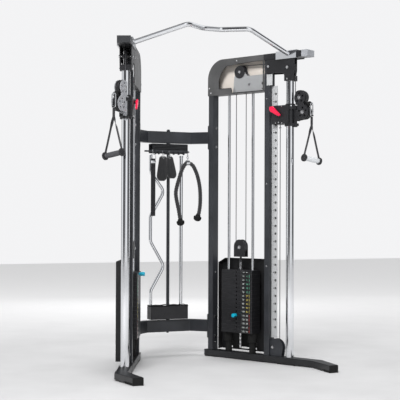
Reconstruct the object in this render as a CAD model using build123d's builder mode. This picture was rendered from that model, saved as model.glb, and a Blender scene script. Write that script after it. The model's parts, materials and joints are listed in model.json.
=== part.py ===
from build123d import *
import os
from math import sin, cos, tan, radians, degrees, atan2, asin, hypot, pi

os.makedirs("parts", exist_ok=True)

# ------------------------------------------------------------------
# Dual weight-stack cable trainer.  Millimetres, +Z up, floor at Z = 0.
# The front faces -Y, the right tower is at +X.  Two flared towers mirror
# each other about the plane X = MIDDLE_X.  Tower pieces are drawn on the
# right-hand tower, in tower coordinates:
#   u  forward along the tower from the middle of the rear upright
#   w  inward, across the tower (towards the other tower)
#   z  up
# ------------------------------------------------------------------
CUT = Mode.SUBTRACT
SIDES = ("right", "left")

# Placing of the towers
MIDDLE_X, REAR_Y = 12.93, 416.0  # plane of symmetry, line of the rear uprights
HALF_SPACING = 281.2             # plane of symmetry to rear upright
FLARE = 25.73                    # degrees each tower turns outward

# Frame
BASE_LOW, BASE_TOP = 5.5, 45.5   # underside and top of the base tubes
REAR_HALF_DEPTH, FRONT_HALF_DEPTH = 20.0, 20.5   # uprights, along u
UPRIGHT_HALF_WIDTH, UPRIGHT_WALL = 30.0, 2.5
REAR_TOP, FRONT_TOP = 1845.0, 1946.5             # tops of the uprights
FRONT_U = 469.5                  # middle of the front upright
COLUMN_U, COLUMN_R, COLUMN_WALL = 633.0, 25.4, 3.0
COLUMN_TOP = 1830.0
TOP_Z = 1988.0                   # top of hoods and top tubes
HOOD_LOW = 1750.0
TOP_TUBE_LOW, TOP_TUBE_WALL = 1947.0, 3.5
TOP_TUBE_REAR, TOP_TUBE_FRONT = 449.0, 742.0     # ends of the top tube in u
BRACKET_BOLT = (487.0, 1905.0)   # (u, z) of the bolt behind the top pulley

# Crossbeams
BEAM_H, BEAM_D, BEAM_Y = 78.0, 40.0, 120.0   # height, depth, distance behind the uprights
UPPER_BEAM_Z, LOWER_BEAM_Z = 1470.0, 201.5
BEAM_STRAIGHT_HALF = 163.0       # half length of the straight middle run
FLANGE_U = -26.0                 # rear face of the end flanges
# heights of the four bolts in each rear upright
BEAM_BOLT_Z = [beam_z + dz for beam_z in (UPPER_BEAM_Z, LOWER_BEAM_Z) for dz in (-63.5, 63.5)]

# Weight stack
STACK_U = 236.4
ROD_OFFSET, ROD_R = 99.3, 9.5
ROD_US = (STACK_U - ROD_OFFSET, STACK_U + ROD_OFFSET)
PLATE_L, PLATE_W, PLATE_T = 252.0, 95.0, 25.2
PITCH, PLATE_COUNT = 25.7, 15
STACK_LOW = 176.0
HEAD_LOW = STACK_LOW + PLATE_COUNT * PITCH   # underside of the head plate
SELECTED_ROW = {"right": 11, "left": 0}      # row holding the selector pin, head plate is 0

# Adjustment holes and the carriage pin
HOLE_PITCH, HOLE_TOP, HOLE_COUNT = 50.0, 1729.4, 31
PIN_U, PIN_Z = 521.0, HOLE_TOP - 2 * HOLE_PITCH

# Pulleys: pitch radii, and centres as (u, z)
CABLE_R, AXLE_R = 2.5, 6.0
AXLE_HOLE_R = AXLE_R + 0.05
TOP_R, HOOD_R, LOWER_R, SWIVEL_R = 36.0, 41.0, 42.5, 43.0
TOP_PULLEY, LOWER_PULLEY = (637.0, 1888.0), (512.0, 102.0)
HOOD_PULLEY, TRANSFER_REAR, TRANSFER_FRONT = (237.0, 1893.0), (319.0, 1805.0), (428.5, 1805.0)
HOOD_PULLEYS = (HOOD_PULLEY, TRANSFER_REAR, TRANSFER_FRONT)
TRAVELLING_PULLEY = (237.0, 735.0)

# Pulley arm: x runs outwards from the vertical swivel axis
PIVOT_U = TOP_PULLEY[0] + TOP_R              # swivel axis, in line with the falling cable
PIVOT_R = 8.0                                # pivot pins of the arm and of the rack
ARM_TURN = {"right": 0.0, "left": 27.0}      # degrees each arm is turned outward
SWIVEL_UPPER, SWIVEL_LOWER = (SWIVEL_R, 1692.0), (67.0, 1598.0)   # (arm x, z)
CABLE_EXIT_Z = SWIVEL_UPPER[1] - SWIVEL_R    # cable leaves the swivel pulleys here

# Carriage: its height range and those of its two lugs
CARRIAGE_LOW, CARRIAGE_TOP = 1530.0, 1649.0
LOW_LUG, TOP_LUG = (1515.0, CARRIAGE_LOW), (1620.0, 1640.0)

# ------------------------------------------------------------------ planes
SIN, COS = sin(radians(FLARE)), cos(radians(FLARE))
FORWARD, INWARD, OUTWARD = (SIN, -COS, 0), (-COS, -SIN, 0), (COS, SIN, 0)
MIRROR_PLANE = Plane.YZ.offset(MIDDLE_X)


def world(u, w, z):
    return (HALF_SPACING + MIDDLE_X + u * SIN - w * COS, REAR_Y - u * COS - w * SIN, z)


def along(w=0.0):
    """Upright plane along the tower: sketch x is u, sketch y is z, normal is w."""
    return Plane(origin=world(0, w, 0), x_dir=FORWARD, z_dir=INWARD)


def level(z=0.0):
    """Level plane: sketch x is u, sketch y is outward (minus w)."""
    return Plane(origin=world(0, 0, z), x_dir=FORWARD, z_dir=(0, 0, 1))


def across(u=0.0):
    """Plane across the tower: sketch x is outward, sketch y is z, normal is u."""
    return Plane(origin=world(u, 0, 0), x_dir=OUTWARD, z_dir=FORWARD)


def arm_along(turn, offset=0.0):
    """Upright plane along the pulley arm: sketch x runs out from the swivel axis."""
    ct, st = cos(radians(turn)), sin(radians(turn))
    x_dir = (FORWARD[0] * ct + OUTWARD[0] * st, FORWARD[1] * ct + OUTWARD[1] * st, 0)
    normal = (-OUTWARD[0] * ct + FORWARD[0] * st, -OUTWARD[1] * ct + FORWARD[1] * st, 0)
    pivot = world(PIVOT_U, 0, 0)
    return Plane(origin=(pivot[0] + offset * normal[0], pivot[1] + offset * normal[1], 0),
                 x_dir=x_dir, z_dir=normal)


def arm_level(turn, z):
    """Level plane at the swivel axis, with sketch x along the arm."""
    upright = arm_along(turn)
    return Plane(origin=(upright.origin.X, upright.origin.Y, z), x_dir=upright.x_dir,
                 z_dir=(0, 0, 1))


# ------------------------------------------------------------------ solids
# These helpers extrude into whichever BuildPart is open; heights may be negative.
def block(plane, x0, x1, y0, y1, height, mode=Mode.ADD):
    with BuildSketch(plane) as face:
        with Locations(((x0 + x1) / 2, (y0 + y1) / 2)):
            Rectangle(abs(x1 - x0), abs(y1 - y0))
    extrude(face.sketch, amount=height, mode=mode)


def disc(plane, x, y, radius, height, mode=Mode.ADD):
    with BuildSketch(plane) as face:
        with Locations((x, y)):
            Circle(radius)
    extrude(face.sketch, amount=height, mode=mode)


def hexagon(plane, x, y, radius, height):
    with BuildSketch(plane) as face:
        with Locations((x, y)):
            RegularPolygon(radius, 6)
    extrude(face.sketch, amount=height)


def prism(plane, points, height, mode=Mode.ADD, corner=0):
    """Prism on a polygon, its corners rounded by the corner radius."""
    with BuildSketch(plane) as face:
        with BuildLine():
            Polyline(*points, close=True)
        make_face()
        if corner:
            fillet(face.vertices(), corner)
    extrude(face.sketch, amount=height, mode=mode)


def swept_rod(path, radius, transition=Transition.TRANSFORMED):
    """Round bar along a path, as a part of its own."""
    with BuildPart() as rod:
        with BuildSketch(Plane(origin=path @ 0, z_dir=path % 0)):
            Circle(radius)
        sweep(path=path, transition=transition)
    return rod.part


def edges_of_length(builder, *lengths):
    return builder.edges().filter_by(
        lambda e: any(abs(e.length - size) < 0.01 for size in lengths))


# ------------------------------------------------------------------ saving
def other_side(part):
    return mirror(part, about=MIRROR_PLANE)


def save(part, name):
    part.label = name
    export_step(part, f"parts/{name}.step")


def save_both(name, *bodies):
    """One file with the bodies on both towers."""
    with BuildPart() as pair:
        for body in bodies:
            add(body)
        for body in bodies:
            add(other_side(body))
    save(pair.part, name)


def save_side(name, side, body):
    """One file with a right-hand body on the given tower."""
    with BuildPart() as placed:
        add(body if side == "right" else other_side(body))
    save(placed.part, f"{name}_{side}")


def save_each(name, body):
    for side in SIDES:
        save_side(name, side, body)


# ------------------------------------------------------------------ base tubes
# (u, outward) outlines; the toe end runs from TOE_INNER to TOE_OUTER
TOE_INNER, TOE_OUTER = (1024.5, -143.1), (1045.1, -84.2)
BASE_OUTLINE = [(-42, 37.5), (857, 37.5), TOE_OUTER, TOE_INNER, (825, -37.5), (-42, -37.5)]
BASE_CAVITY = [(-60, 34.5), (858, 34.5), (1060, -95.9), (1040, -148.4), (825.5, -34.5),
               (-60, -34.5)]
BASE_WALL = 3.0

with BuildPart() as base_tube:
    prism(level(BASE_LOW), BASE_OUTLINE, BASE_TOP - BASE_LOW)
    fillet(base_tube.edges().filter_by(GeomType.LINE).filter_by(
        lambda e: abs(e.position_at(0.5).Z - BASE_TOP) < 0.1
        or abs(e.position_at(0.5).Z - BASE_LOW) < 0.1
    ).filter_by(lambda e: e.length > 150), 4)
    prism(level(BASE_LOW + BASE_WALL), BASE_CAVITY, BASE_TOP - BASE_LOW - 2 * BASE_WALL, CUT)
    # the underside of the toe is cut away for its thicker pad
    prism(level(0), [(960, 60), (1080, 60), (1080, -200), (960, -200)], 14.5, CUT)
save_each("base_tube", base_tube.part)

# end caps: rear ends of the base tubes and front ends of the top tubes
with BuildPart() as rear_cap:
    block(level(BASE_LOW + 0.5), -48, -42, -37, 37, 39)
    fillet(rear_cap.edges().filter_by(Axis.Z), 2.5)
    block(level(BASE_LOW + 4), -42, -24, -33, 33, 32)
with BuildPart() as top_cap:
    block(across(TOP_TUBE_FRONT), -40, 40, TOP_TUBE_LOW - 0.5, TOP_Z + 0.5, 48)
    fillet(edges_of_length(top_cap, 80, 42), 4)
    block(across(TOP_TUBE_FRONT - 30), -35, 35, TOP_TUBE_LOW + 4.5, TOP_Z - 4.5, 30)
save_both("tube_end_caps", rear_cap.part, top_cap.part)

# toe cap with its thick pad, and the thin pads under the base tubes
CAP_T = 7.0
toe_du, toe_dy = TOE_OUTER[0] - TOE_INNER[0], TOE_OUTER[1] - TOE_INNER[1]
toe_length = hypot(toe_du, toe_dy)
cap_du, cap_dy = CAP_T * toe_dy / toe_length, -CAP_T * toe_du / toe_length   # out of the toe
with BuildPart() as toe_pad:
    prism(level(0), [TOE_INNER, TOE_OUTER, (TOE_OUTER[0] + cap_du, TOE_OUTER[1] + cap_dy),
                     (TOE_INNER[0] + cap_du, TOE_INNER[1] + cap_dy)], 43.5)
    prism(level(0), [(965, -34), TOE_OUTER, TOE_INNER, (965, -111.5)], 14.2)
    prism(level(14.5), [(1004, -66), (1041, -90), (1022, -137), (1004, -127)], 26)
with BuildPart() as thin_pads:
    block(level(0), 560, 700, -36, 36, BASE_LOW)
    block(level(0), -40, 60, -36, 36, BASE_LOW)
save_both("foot_pads", toe_pad.part, thin_pads.part)


# ------------------------------------------------------------------ uprights
def upright_tube(u, half_depth, top):
    """Rectangular tube standing on the base, outer corners rounded."""
    inner_depth = half_depth - UPRIGHT_WALL
    inner_width = UPRIGHT_HALF_WIDTH - UPRIGHT_WALL
    with BuildPart() as tube:
        block(level(BASE_TOP), u - half_depth, u + half_depth,
              -UPRIGHT_HALF_WIDTH, UPRIGHT_HALF_WIDTH, top - BASE_TOP)
        fillet(tube.edges().filter_by(Axis.Z), 4)
        block(level(BASE_TOP), u - inner_depth, u + inner_depth,
              -inner_width, inner_width, top - BASE_TOP, CUT)
    return tube.part


BEAM_HOLE_R = 5.2
with BuildPart() as rear_upright:
    add(upright_tube(0, REAR_HALF_DEPTH, REAR_TOP))
    for z in BEAM_BOLT_Z:
        disc(across(-30), 0, z, BEAM_HOLE_R, 60, CUT)
save_both("rear_uprights", rear_upright.part)

with BuildPart() as front_upright:
    add(upright_tube(FRONT_U, FRONT_HALF_DEPTH, FRONT_TOP))
    # slots that let the cable and the rims of the pulleys through the tube walls
    block(across(FRONT_U), -13, 13, 50, 152, 40, CUT)
    block(across(FRONT_U), -13, 13, 1752, 1858, -40, CUT)
    block(across(FRONT_U - 40), -8, 8, 1915, 1943, 80, CUT)
save_each("front_upright", front_upright.part)

# ------------------------------------------------------------------ hoods
HOOD_FRONT, HOOD_HALF_WIDTH, HOOD_WALL = 448.5, 33.5, 3.0
# (u, z) of the window, down to the hood floor in front of the pulley plates
WINDOW = [(73, 1792), (73, 1852), (98, 1904), (133, 1938), (250, 1947), (440, 1951),
          (440, 1757), (186, 1757), (180, 1790)]


def hood_body(plane, inset, low, width, mode=Mode.ADD):
    """Prism on the hood outline, shrunk by the inset except at its foot and front."""
    with BuildSketch(plane) as face:
        with BuildLine():
            back = Line((-23.5 + inset, low), (-23.5 + inset, 1855))
            crown = ThreePointArc(back @ 1, (17 + 0.75 * inset, 1952 - 0.75 * inset),
                                  (120, TOP_Z - inset))
            top = Line(crown @ 1, (HOOD_FRONT, TOP_Z - inset))
            front = Line(top @ 1, (HOOD_FRONT, low))
            Line(front @ 1, back @ 0)
        make_face()
    extrude(face.sketch, amount=width, mode=mode)


def hood(window):
    inner = HOOD_HALF_WIDTH - HOOD_WALL
    with BuildPart() as body:
        hood_body(along(-HOOD_HALF_WIDTH), 0, HOOD_LOW, 2 * HOOD_HALF_WIDTH)
        hood_body(along(-inner), HOOD_WALL, HOOD_LOW - 1, 2 * inner, CUT)
        if window:                       # in the inner face
            prism(along(25), WINDOW, 20, CUT, corner=7)
        # floor of the hood with the slots for rods and cables
        block(level(HOOD_LOW), 22, HOOD_FRONT, -31, 31, 4)
        for u in ROD_US:
            disc(level(HOOD_LOW - 1), u, 0, ROD_R + 0.1, 8, CUT)
        for u0, u1 in ((185, 207), (267, 289)):
            block(level(HOOD_LOW - 1), u0, u1, -8, 8, 8, CUT)
    return body.part


save_side("hood", "right", hood(window=True))
save_side("hood", "left", hood(window=False))

# ------------------------------------------------------------------ columns, strips, rods
with BuildPart() as column:
    for radius, mode in ((COLUMN_R, Mode.ADD), (COLUMN_R - COLUMN_WALL, CUT)):
        disc(level(BASE_TOP), COLUMN_U, 0, radius, COLUMN_TOP - BASE_TOP, mode)
save_both("guide_columns", column.part)

with BuildPart() as strip:
    block(along(-3), 490.2, 533, 162, 1781, 6)
    with BuildSketch(along(-5)):
        with Locations(*[(PIN_U, HOLE_TOP - HOLE_PITCH * k) for k in range(HOLE_COUNT)]):
            Circle(6)
    extrude(amount=10, mode=CUT)
save_both("adjustment_strips", strip.part)

with BuildPart() as rods:
    for u in ROD_US:
        disc(level(BASE_TOP), u, 0, ROD_R, 1756 - BASE_TOP)
save_both("guide_rods", rods.part)

CUSHION_STEP = BASE_TOP + 70     # the cushions widen above this height
with BuildPart() as cushions:
    for u in ROD_US:
        disc(level(BASE_TOP), u, 0, 22, 70)
        disc(level(CUSHION_STEP), u, 0, 30, STACK_LOW - CUSHION_STEP - 0.3)
        disc(level(BASE_TOP), u, 0, ROD_R + 0.05, 140, CUT)
save_both("stack_cushions", cushions.part)

# ------------------------------------------------------------------ top tubes with column sockets
TOP_TUBE_L = TOP_TUBE_FRONT - TOP_TUBE_REAR
CHEEK_TOP = 1947.2
SOCKET_LOW = 1803.0
# (u, z): both cheeks share the rear edge, the inner one reaches further forward
CHEEK_REAR = [(470, CHEEK_TOP), (470, 1861), (604, 1856), (611, 1840), (611, SOCKET_LOW)]
INNER_CHEEK = CHEEK_REAR + [(674, SOCKET_LOW), (683, 1830), (691, 1872), (691, CHEEK_TOP)]
OUTER_CHEEK = CHEEK_REAR + [(640, SOCKET_LOW), (650, 1825), (659, 1872), (659, CHEEK_TOP)]

with BuildPart() as top_bracket:
    block(across(TOP_TUBE_REAR), -40, 40, TOP_TUBE_LOW, TOP_Z, TOP_TUBE_L)
    fillet(edges_of_length(top_bracket, TOP_TUBE_L), 4)
    inner_half = 40 - TOP_TUBE_WALL
    block(across(TOP_TUBE_REAR - 9), -inner_half, inner_half,
          TOP_TUBE_LOW + TOP_TUBE_WALL, TOP_Z - TOP_TUBE_WALL, 310, CUT)
    prism(along(33), INNER_CHEEK, 5)
    prism(along(-38), OUTER_CHEEK, 5)
    block(level(SOCKET_LOW), 609, 664, -33.5, 33.5, 34)
    disc(level(SOCKET_LOW - 3), COLUMN_U, 0, COLUMN_R + 0.05, 30.1, CUT)
    disc(along(-50), *TOP_PULLEY, AXLE_HOLE_R, 100, CUT)
    disc(along(-50), *BRACKET_BOLT, 5.05, 100, CUT)
save_both("column_top_brackets", top_bracket.part)

# ------------------------------------------------------------------ pull-up bar with its saddles
SADDLE_REAR, SADDLE_FRONT = 551.0, 709.0
SADDLE_L = SADDLE_FRONT - SADDLE_REAR
BAR_R, BAR_BEND_R = 15.0, 55.0
with BuildPart() as saddle:
    block(across(SADDLE_REAR), -48, 48, 1942, 1994, SADDLE_L)
    fillet(edges_of_length(saddle, SADDLE_L).filter_by(
        lambda e: e.position_at(0.5).Z > 1990), 4)
    block(across(SADDLE_REAR - 5), -40.2, 40.2, 1900, TOP_Z + 0.2, SADDLE_L + 10, CUT)

# corners of the right half of the bar, from its end inwards
BAR_CORNERS = [world(645.5, 46.5, 1972),
               (206.0 + MIDDLE_X, REAR_Y - 691.2, 2091.3),
               (59.4 + MIDDLE_X, REAR_Y - 584.3, 2092.8)]
bar_left = [(2 * MIDDLE_X - x, y, z) for x, y, z in reversed(BAR_CORNERS)]
with BuildPart() as pull_up_bar:
    with BuildLine() as bar_path:
        FilletPolyline(*BAR_CORNERS, *bar_left, radius=BAR_BEND_R)
    add(swept_rod(bar_path.line, BAR_R))
    add(saddle.part)
    add(other_side(saddle.part))
save(pull_up_bar.part, "pull_up_bar")


# ------------------------------------------------------------------ crossbeams
def beam_outline():
    """Plan of the bent beam, mitred at its bends and running past the end flanges."""
    rear = world(FLANGE_U, 0, 0)
    end_x, end_y = rear[0] - MIDDLE_X, rear[1] - REAR_Y - BEAM_Y   # from the beam's middle
    leg = hypot(end_x - BEAM_STRAIGHT_HALF, end_y)
    dir_x, dir_y = (end_x - BEAM_STRAIGHT_HALF) / leg, end_y / leg
    end_x, end_y = end_x + dir_x * 40, end_y + dir_y * 40

    def edge(offset):
        """Bend and end of the line beside the centre line."""
        mitre = offset * tan(-atan2(dir_y, dir_x) / 2)
        return ((BEAM_STRAIGHT_HALF + mitre, offset),
                (end_x - dir_y * offset, end_y + dir_x * offset))

    (bend1, end1), (bend2, end2) = edge(BEAM_D / 2), edge(-BEAM_D / 2)
    left = [(-x, y) for x, y in (bend2, end2, end1)]
    points = [(-bend1[0], bend1[1]), bend1, end1, end2, bend2, *left]
    return [(x + MIDDLE_X, y + REAR_Y + BEAM_Y) for x, y in points]


def beam_flange(beam_z):
    with BuildPart() as flange:
        block(across(FLANGE_U), -30, 30, beam_z - 80, beam_z + 80, 5.8)
        fillet(edges_of_length(flange, 5.8), 6)
        for dz in (-63.5, 63.5):
            disc(across(-30), 0, beam_z + dz, BEAM_HOLE_R, 20, CUT)
    return flange.part


def crossbeam(beam_z):
    low = beam_z - BEAM_H / 2
    flange = beam_flange(beam_z)
    right_cut = across(FLANGE_U)
    left_cut = Plane(origin=(2 * MIDDLE_X - right_cut.origin.X, right_cut.origin.Y, 0),
                     x_dir=(COS, -SIN, 0), z_dir=(-SIN, -COS, 0))
    with BuildPart() as beam:
        prism(Plane.XY.offset(low), beam_outline(), BEAM_H)
        split(bisect_by=right_cut, keep=Keep.BOTTOM)
        split(bisect_by=left_cut, keep=Keep.BOTTOM)
        add(flange)
        add(other_side(flange))
        # hole for the pivot pin of the rack
        disc(Plane.XY.offset(low - 1), MIDDLE_X, REAR_Y + BEAM_Y, PIVOT_R + 0.05,
             BEAM_H + 2, CUT)
    return beam.part


save(crossbeam(UPPER_BEAM_Z), "upper_crossbeam")
save(crossbeam(LOWER_BEAM_Z), "lower_crossbeam")

# ------------------------------------------------------------------ weight shrouds, outer sides
# (u, z) outlines
SHROUD = [(21, 50), (447, 50), (447, 661), (78, 661), (21, 630)]
SHROUD_CAVITY = [(23, 40), (445, 40), (445, 659), (78.5, 659), (23, 628.8)]
REAR_WING = [(-8, 50), (22, 50), (22, 629), (-8, 606)]
with BuildPart() as shroud:
    prism(along(-76), SHROUD, 45)
    prism(along(-74), SHROUD_CAVITY, 60, CUT)
    for u0, u1 in ((53, 114), (177, 315), (381, 441)):       # low slots
        block(along(-80), u0, u1, 60, 71, 10, CUT)
    block(level(600), 104, 369, 29, 50.5, 70, CUT)           # the stack passes the top flange
    prism(along(-76), REAR_WING, 2)
save_both("weight_shrouds", shroud.part)

# ------------------------------------------------------------------ pulleys
RIM, SHEAVE_HALF_WIDTH, WEB_HALF = 4.0, 10.0, 3.5


def sheave(pitch_r, hub_width):
    """Grooved sheave about Z: hub, web with lightening holes, flat-bottomed groove."""
    outer, half, hub = pitch_r + RIM, SHEAVE_HALF_WIDTH, hub_width / 2
    groove = pitch_r - CABLE_R - 0.2
    # (radius, z) of the lower half, from the bore outwards
    lower = [(AXLE_HOLE_R, -hub), (13, -hub), (15, -WEB_HALF), (groove - 8, -WEB_HALF),
             (groove - 5, -half), (outer - 1, -half), (outer, -half + 1),
             (outer, -half + 2.5), (groove, -2.2)]
    with BuildPart() as wheel:
        with BuildSketch(Plane.XZ):
            with BuildLine():
                Polyline(*lower, *[(r, -z) for r, z in reversed(lower)], close=True)
            make_face()
        revolve(axis=Axis.Z)
        with PolarLocations((15 + groove - 8) / 2, 6):
            Hole(min(4.6, (groove - 8 - 15) / 2 - 1.2))
    return wheel.part


hood_sheave = sheave(HOOD_R, hub_width=26.0)
swivel_sheave = sheave(SWIVEL_R, hub_width=30.0)
# name, sheave, centre
TOWER_PULLEYS = (
    ("top_pulley", sheave(TOP_R, hub_width=50.0), TOP_PULLEY),
    ("hood_pulley", hood_sheave, HOOD_PULLEY),
    ("transfer_pulley_rear", hood_sheave, TRANSFER_REAR),
    ("transfer_pulley_front", hood_sheave, TRANSFER_FRONT),
    ("lower_pulley", sheave(LOWER_R, hub_width=24.0), LOWER_PULLEY),
    ("travelling_pulley", hood_sheave, TRAVELLING_PULLEY),
)
ARM_PULLEYS = (
    ("swivel_pulley_upper", swivel_sheave, SWIVEL_UPPER),
    ("swivel_pulley_lower", swivel_sheave, SWIVEL_LOWER),
)
for side in SIDES:
    for pulleys, plane in ((TOWER_PULLEYS, along()), (ARM_PULLEYS, arm_along(ARM_TURN[side]))):
        for name, wheel, centre in pulleys:
            save_side(name, side, plane.location * Pos(*centre, 0) * wheel)

# plates that carry the three hood pulleys, as (u, z)
PULLEY_PLATE = [(192, 1866), (180, 1757), (446, 1757), (446, 1862), (300, 1862), (262, 1912),
                (212, 1912)]
with BuildPart() as plates:
    for w in (14.5, -17.5):
        prism(along(w), PULLEY_PLATE, 3, corner=7)
    for centre in HOOD_PULLEYS:
        disc(along(-30), *centre, AXLE_HOLE_R, 60, CUT)
save_both("pulley_plates", plates.part)

# guards of the lower pulleys, standing on the base tubes against the front uprights
GUARD_REAR, GUARD_FRONT, GUARD_LOW, GUARD_T = 490.3, 579.0, 45.7, 3.0
with BuildPart() as guard:
    for w in (13.5, -16.5):
        with BuildSketch(along(w)):
            with BuildLine():
                rear = Line((GUARD_REAR, GUARD_LOW), (GUARD_REAR, 142.3))
                dome = ThreePointArc(rear @ 1, (530, 158), (588, 100))
                front = Line(dome @ 1, (GUARD_FRONT, GUARD_LOW))
                Line(front @ 1, rear @ 0)
            make_face()
        extrude(amount=GUARD_T)
    block(level(GUARD_LOW), GUARD_REAR, GUARD_FRONT, -16.5, 16.5, GUARD_T)
    disc(along(-30), *LOWER_PULLEY, AXLE_HOLE_R, 60, CUT)
save_both("lower_pulley_guards", guard.part)


# ------------------------------------------------------------------ fasteners
def bolt(plane, x, y, low, high, shank=5.0, head=9.0, head_h=5.5, nut=True):
    """Hexagon bolt along the plane normal: head above high, nut below low."""
    nut_h = head_h if nut else 0
    with BuildPart() as body:
        disc(plane.offset(low - nut_h), x, y, shank, (high - low) + nut_h + head_h)
        hexagon(plane.offset(high), x, y, head, head_h)
        if nut:
            hexagon(plane.offset(low), x, y, head, -head_h)
    return body.part


AXLE_BOLT = dict(shank=AXLE_R, head=10, head_h=6)
HOOD_SCREW = dict(shank=2.0, head=6, head_h=3, nut=False)
HOOD_SCREWS = ((225, 1968), (-8, 1800), (437, 1768), (5, 1768))      # (u, z)
bolts = [bolt(along(), *centre, -17.7, 17.7, **AXLE_BOLT) for centre in HOOD_PULLEYS]
bolts.append(bolt(along(), *TOP_PULLEY, -38.2, 38.2, **AXLE_BOLT))
bolts.append(bolt(along(), *BRACKET_BOLT, 30.2, 38.2, nut=False))
bolts.append(bolt(along(), *LOWER_PULLEY, -16.7, 16.7, **AXLE_BOLT))
bolts += [bolt(across(), 0, z, FLANGE_U - 0.2, REAR_HALF_DEPTH + 0.2) for z in BEAM_BOLT_Z]
bolts += [bolt(along(), u, z, 33.6, 33.7, **HOOD_SCREW) for u, z in HOOD_SCREWS]
save_both("frame_bolts", *bolts)


# ------------------------------------------------------------------ weight stack
def row_low(row):
    """Underside of a row of the stack, the head plate being row 0."""
    return HEAD_LOW - PITCH * row


def plate_slab(low, rod_hole_r):
    with BuildPart() as slab:
        block(level(low), STACK_U - PLATE_L / 2, STACK_U + PLATE_L / 2,
              -PLATE_W / 2, PLATE_W / 2, PLATE_T)
        chamfer(slab.edges().filter_by(Axis.Z), 3)
        for u in ROD_US:
            disc(level(low - 1), u, 0, rod_hole_r, PLATE_T + 2, CUT)
    return slab.part


def weight_plate(low):
    with BuildPart() as plate:
        add(plate_slab(low, ROD_R + 1.0))
        disc(level(low - 1), STACK_U, 0, 10.0, PLATE_T + 2, CUT)     # selector rod hole
        disc(along(), STACK_U, low + PLATE_T / 2, 5.6, 60, CUT)      # selector pin hole
    return plate.part


def plate_group(rows):
    with BuildPart() as group:
        for row in rows:
            add(weight_plate(row_low(row)))
    return group.part


def head_plate():
    """Head plate, selector rod below it, threaded stud, link and pulley yoke above it."""
    rod_low, rod_r = 74, 8.0
    head_top = HEAD_LOW + PLATE_T
    yoke_u = TRAVELLING_PULLEY[0]
    yoke_rear, yoke_front = yoke_u - 46, yoke_u + 46
    with BuildPart() as head:
        add(plate_slab(HEAD_LOW, ROD_R + 0.08))
        disc(level(rod_low), STACK_U, 0, rod_r, HEAD_LOW - rod_low)  # selector rod
        disc(level(head_top), STACK_U, 0, 14, 6)                     # nut
        disc(level(head_top), STACK_U, 0, rod_r, 66)                 # stud
        disc(level(640), STACK_U, 0, 11, 9)                          # coupling
        disc(level(640), STACK_U, 0, 7, 35)                          # stem
        block(level(673), yoke_rear, yoke_front, -17, 17, 5)         # foot of the yoke
        for w in (13.5, -17):                                        # domed yoke plates
            with BuildSketch(along(w)):
                with BuildLine():
                    foot = Line((yoke_rear, 676), (yoke_front, 676))
                    front = Line(foot @ 1, (yoke_front, 741))
                    dome = ThreePointArc(front @ 1, (yoke_u, 787), (yoke_rear, 741))
                    Line(dome @ 1, foot @ 0)
                make_face()
            extrude(amount=3.5)
        disc(along(-23), *TRAVELLING_PULLEY, AXLE_R, 46)             # axle and its two nuts
        for w in (17, -23):
            hexagon(along(w), *TRAVELLING_PULLEY, 10, 6)
        for row in range(PLATE_COUNT + 1):                           # selector pin holes
            disc(along(-40), STACK_U, row_low(row) + PLATE_T / 2, 5.1, 90, CUT)
    return head.part


def selector_pin(row):
    z, knob_r = row_low(row) + PLATE_T / 2, 12.5
    with BuildPart() as pin:
        disc(along(-8), STACK_U, z, 5.0, 71)
        disc(along(49), STACK_U, z, 9.0, 6)
        disc(along(55), STACK_U, z, knob_r, 30)
        fillet(pin.edges().filter_by(GeomType.CIRCLE).filter_by(
            lambda e: abs(e.radius - knob_r) < 0.01), 3)
    return pin.part


save_each("head_plate", head_plate())
for side in SIDES:
    first_resting = SELECTED_ROW[side] + 1
    save_side("selector_pin", side, selector_pin(SELECTED_ROW[side]))
    if first_resting > 1:
        save_side("lifted_plates", side, plate_group(range(1, first_resting)))
    save_side("resting_plates", side, plate_group(range(first_resting, PLATE_COUNT + 1)))

# ------------------------------------------------------------------ carriages
with BuildPart() as carriage:
    block(level(CARRIAGE_LOW), 514, 645, -40, 40, CARRIAGE_TOP - CARRIAGE_LOW)
    fillet(carriage.edges().filter_by(Axis.Z), 5)
    disc(level(CARRIAGE_LOW), COLUMN_U, 0, 28.2, 95)             # sleeve round the column
    disc(level(LOW_LUG[0]), COLUMN_U, 0, 36, LOW_LUG[1] - LOW_LUG[0])
    disc(level(CARRIAGE_TOP), COLUMN_U, 0, 31, 8)
    disc(level(TOP_LUG[0]), COLUMN_U, 0, 36, TOP_LUG[1] - TOP_LUG[0])
    for (low, high), radius in ((LOW_LUG, 22), (TOP_LUG, 15)):   # lugs for the swivel pin
        block(level(low), 620, PIVOT_U, -radius, radius, high - low)
        disc(level(low), PIVOT_U, 0, radius, high - low)
    disc(along(40), PIN_U, PIN_Z, 13, 4)                         # boss of the pin
    disc(level(1500), COLUMN_U, 0, COLUMN_R + 0.05, 200, CUT)
    block(level(1500), 505, 535, -4, 4, 200, CUT)                # slot for the strip
    disc(along(-14), PIN_U, PIN_Z, 5.05, 80, CUT)
    disc(level(1500), PIVOT_U, 0, PIVOT_R + 0.05, 145, CUT)
save_each("carriage", carriage.part)

# spring pin with its lever, outlined as (u, z)
LEVER = [(513, 1641), (536, 1644), (548, 1632), (594, 1590), (595, 1581), (584, 1577),
         (519, 1610), (510, 1626)]
with BuildPart() as pop_pin:
    disc(along(4.5), PIN_U, PIN_Z, 5.0, 48)
    prism(along(51.5), LEVER, 12, corner=3)
    fillet(pop_pin.faces().sort_by(Axis((0, 0, 0), INWARD))[-1].edges(), 3)
save_each("pop_pin", pop_pin.part)

# ------------------------------------------------------------------ swivel brackets
# (arm x, z) of the cheek between its two round ends
FORK_CHEEK = [(15, 1548), (60, 1553), (80, 1640), (62, 1690), (43, 1720), (15, 1700)]
FORK_HALF, FORK_T = 22.0, 4.0
LUG_GAP = 0.2


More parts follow.
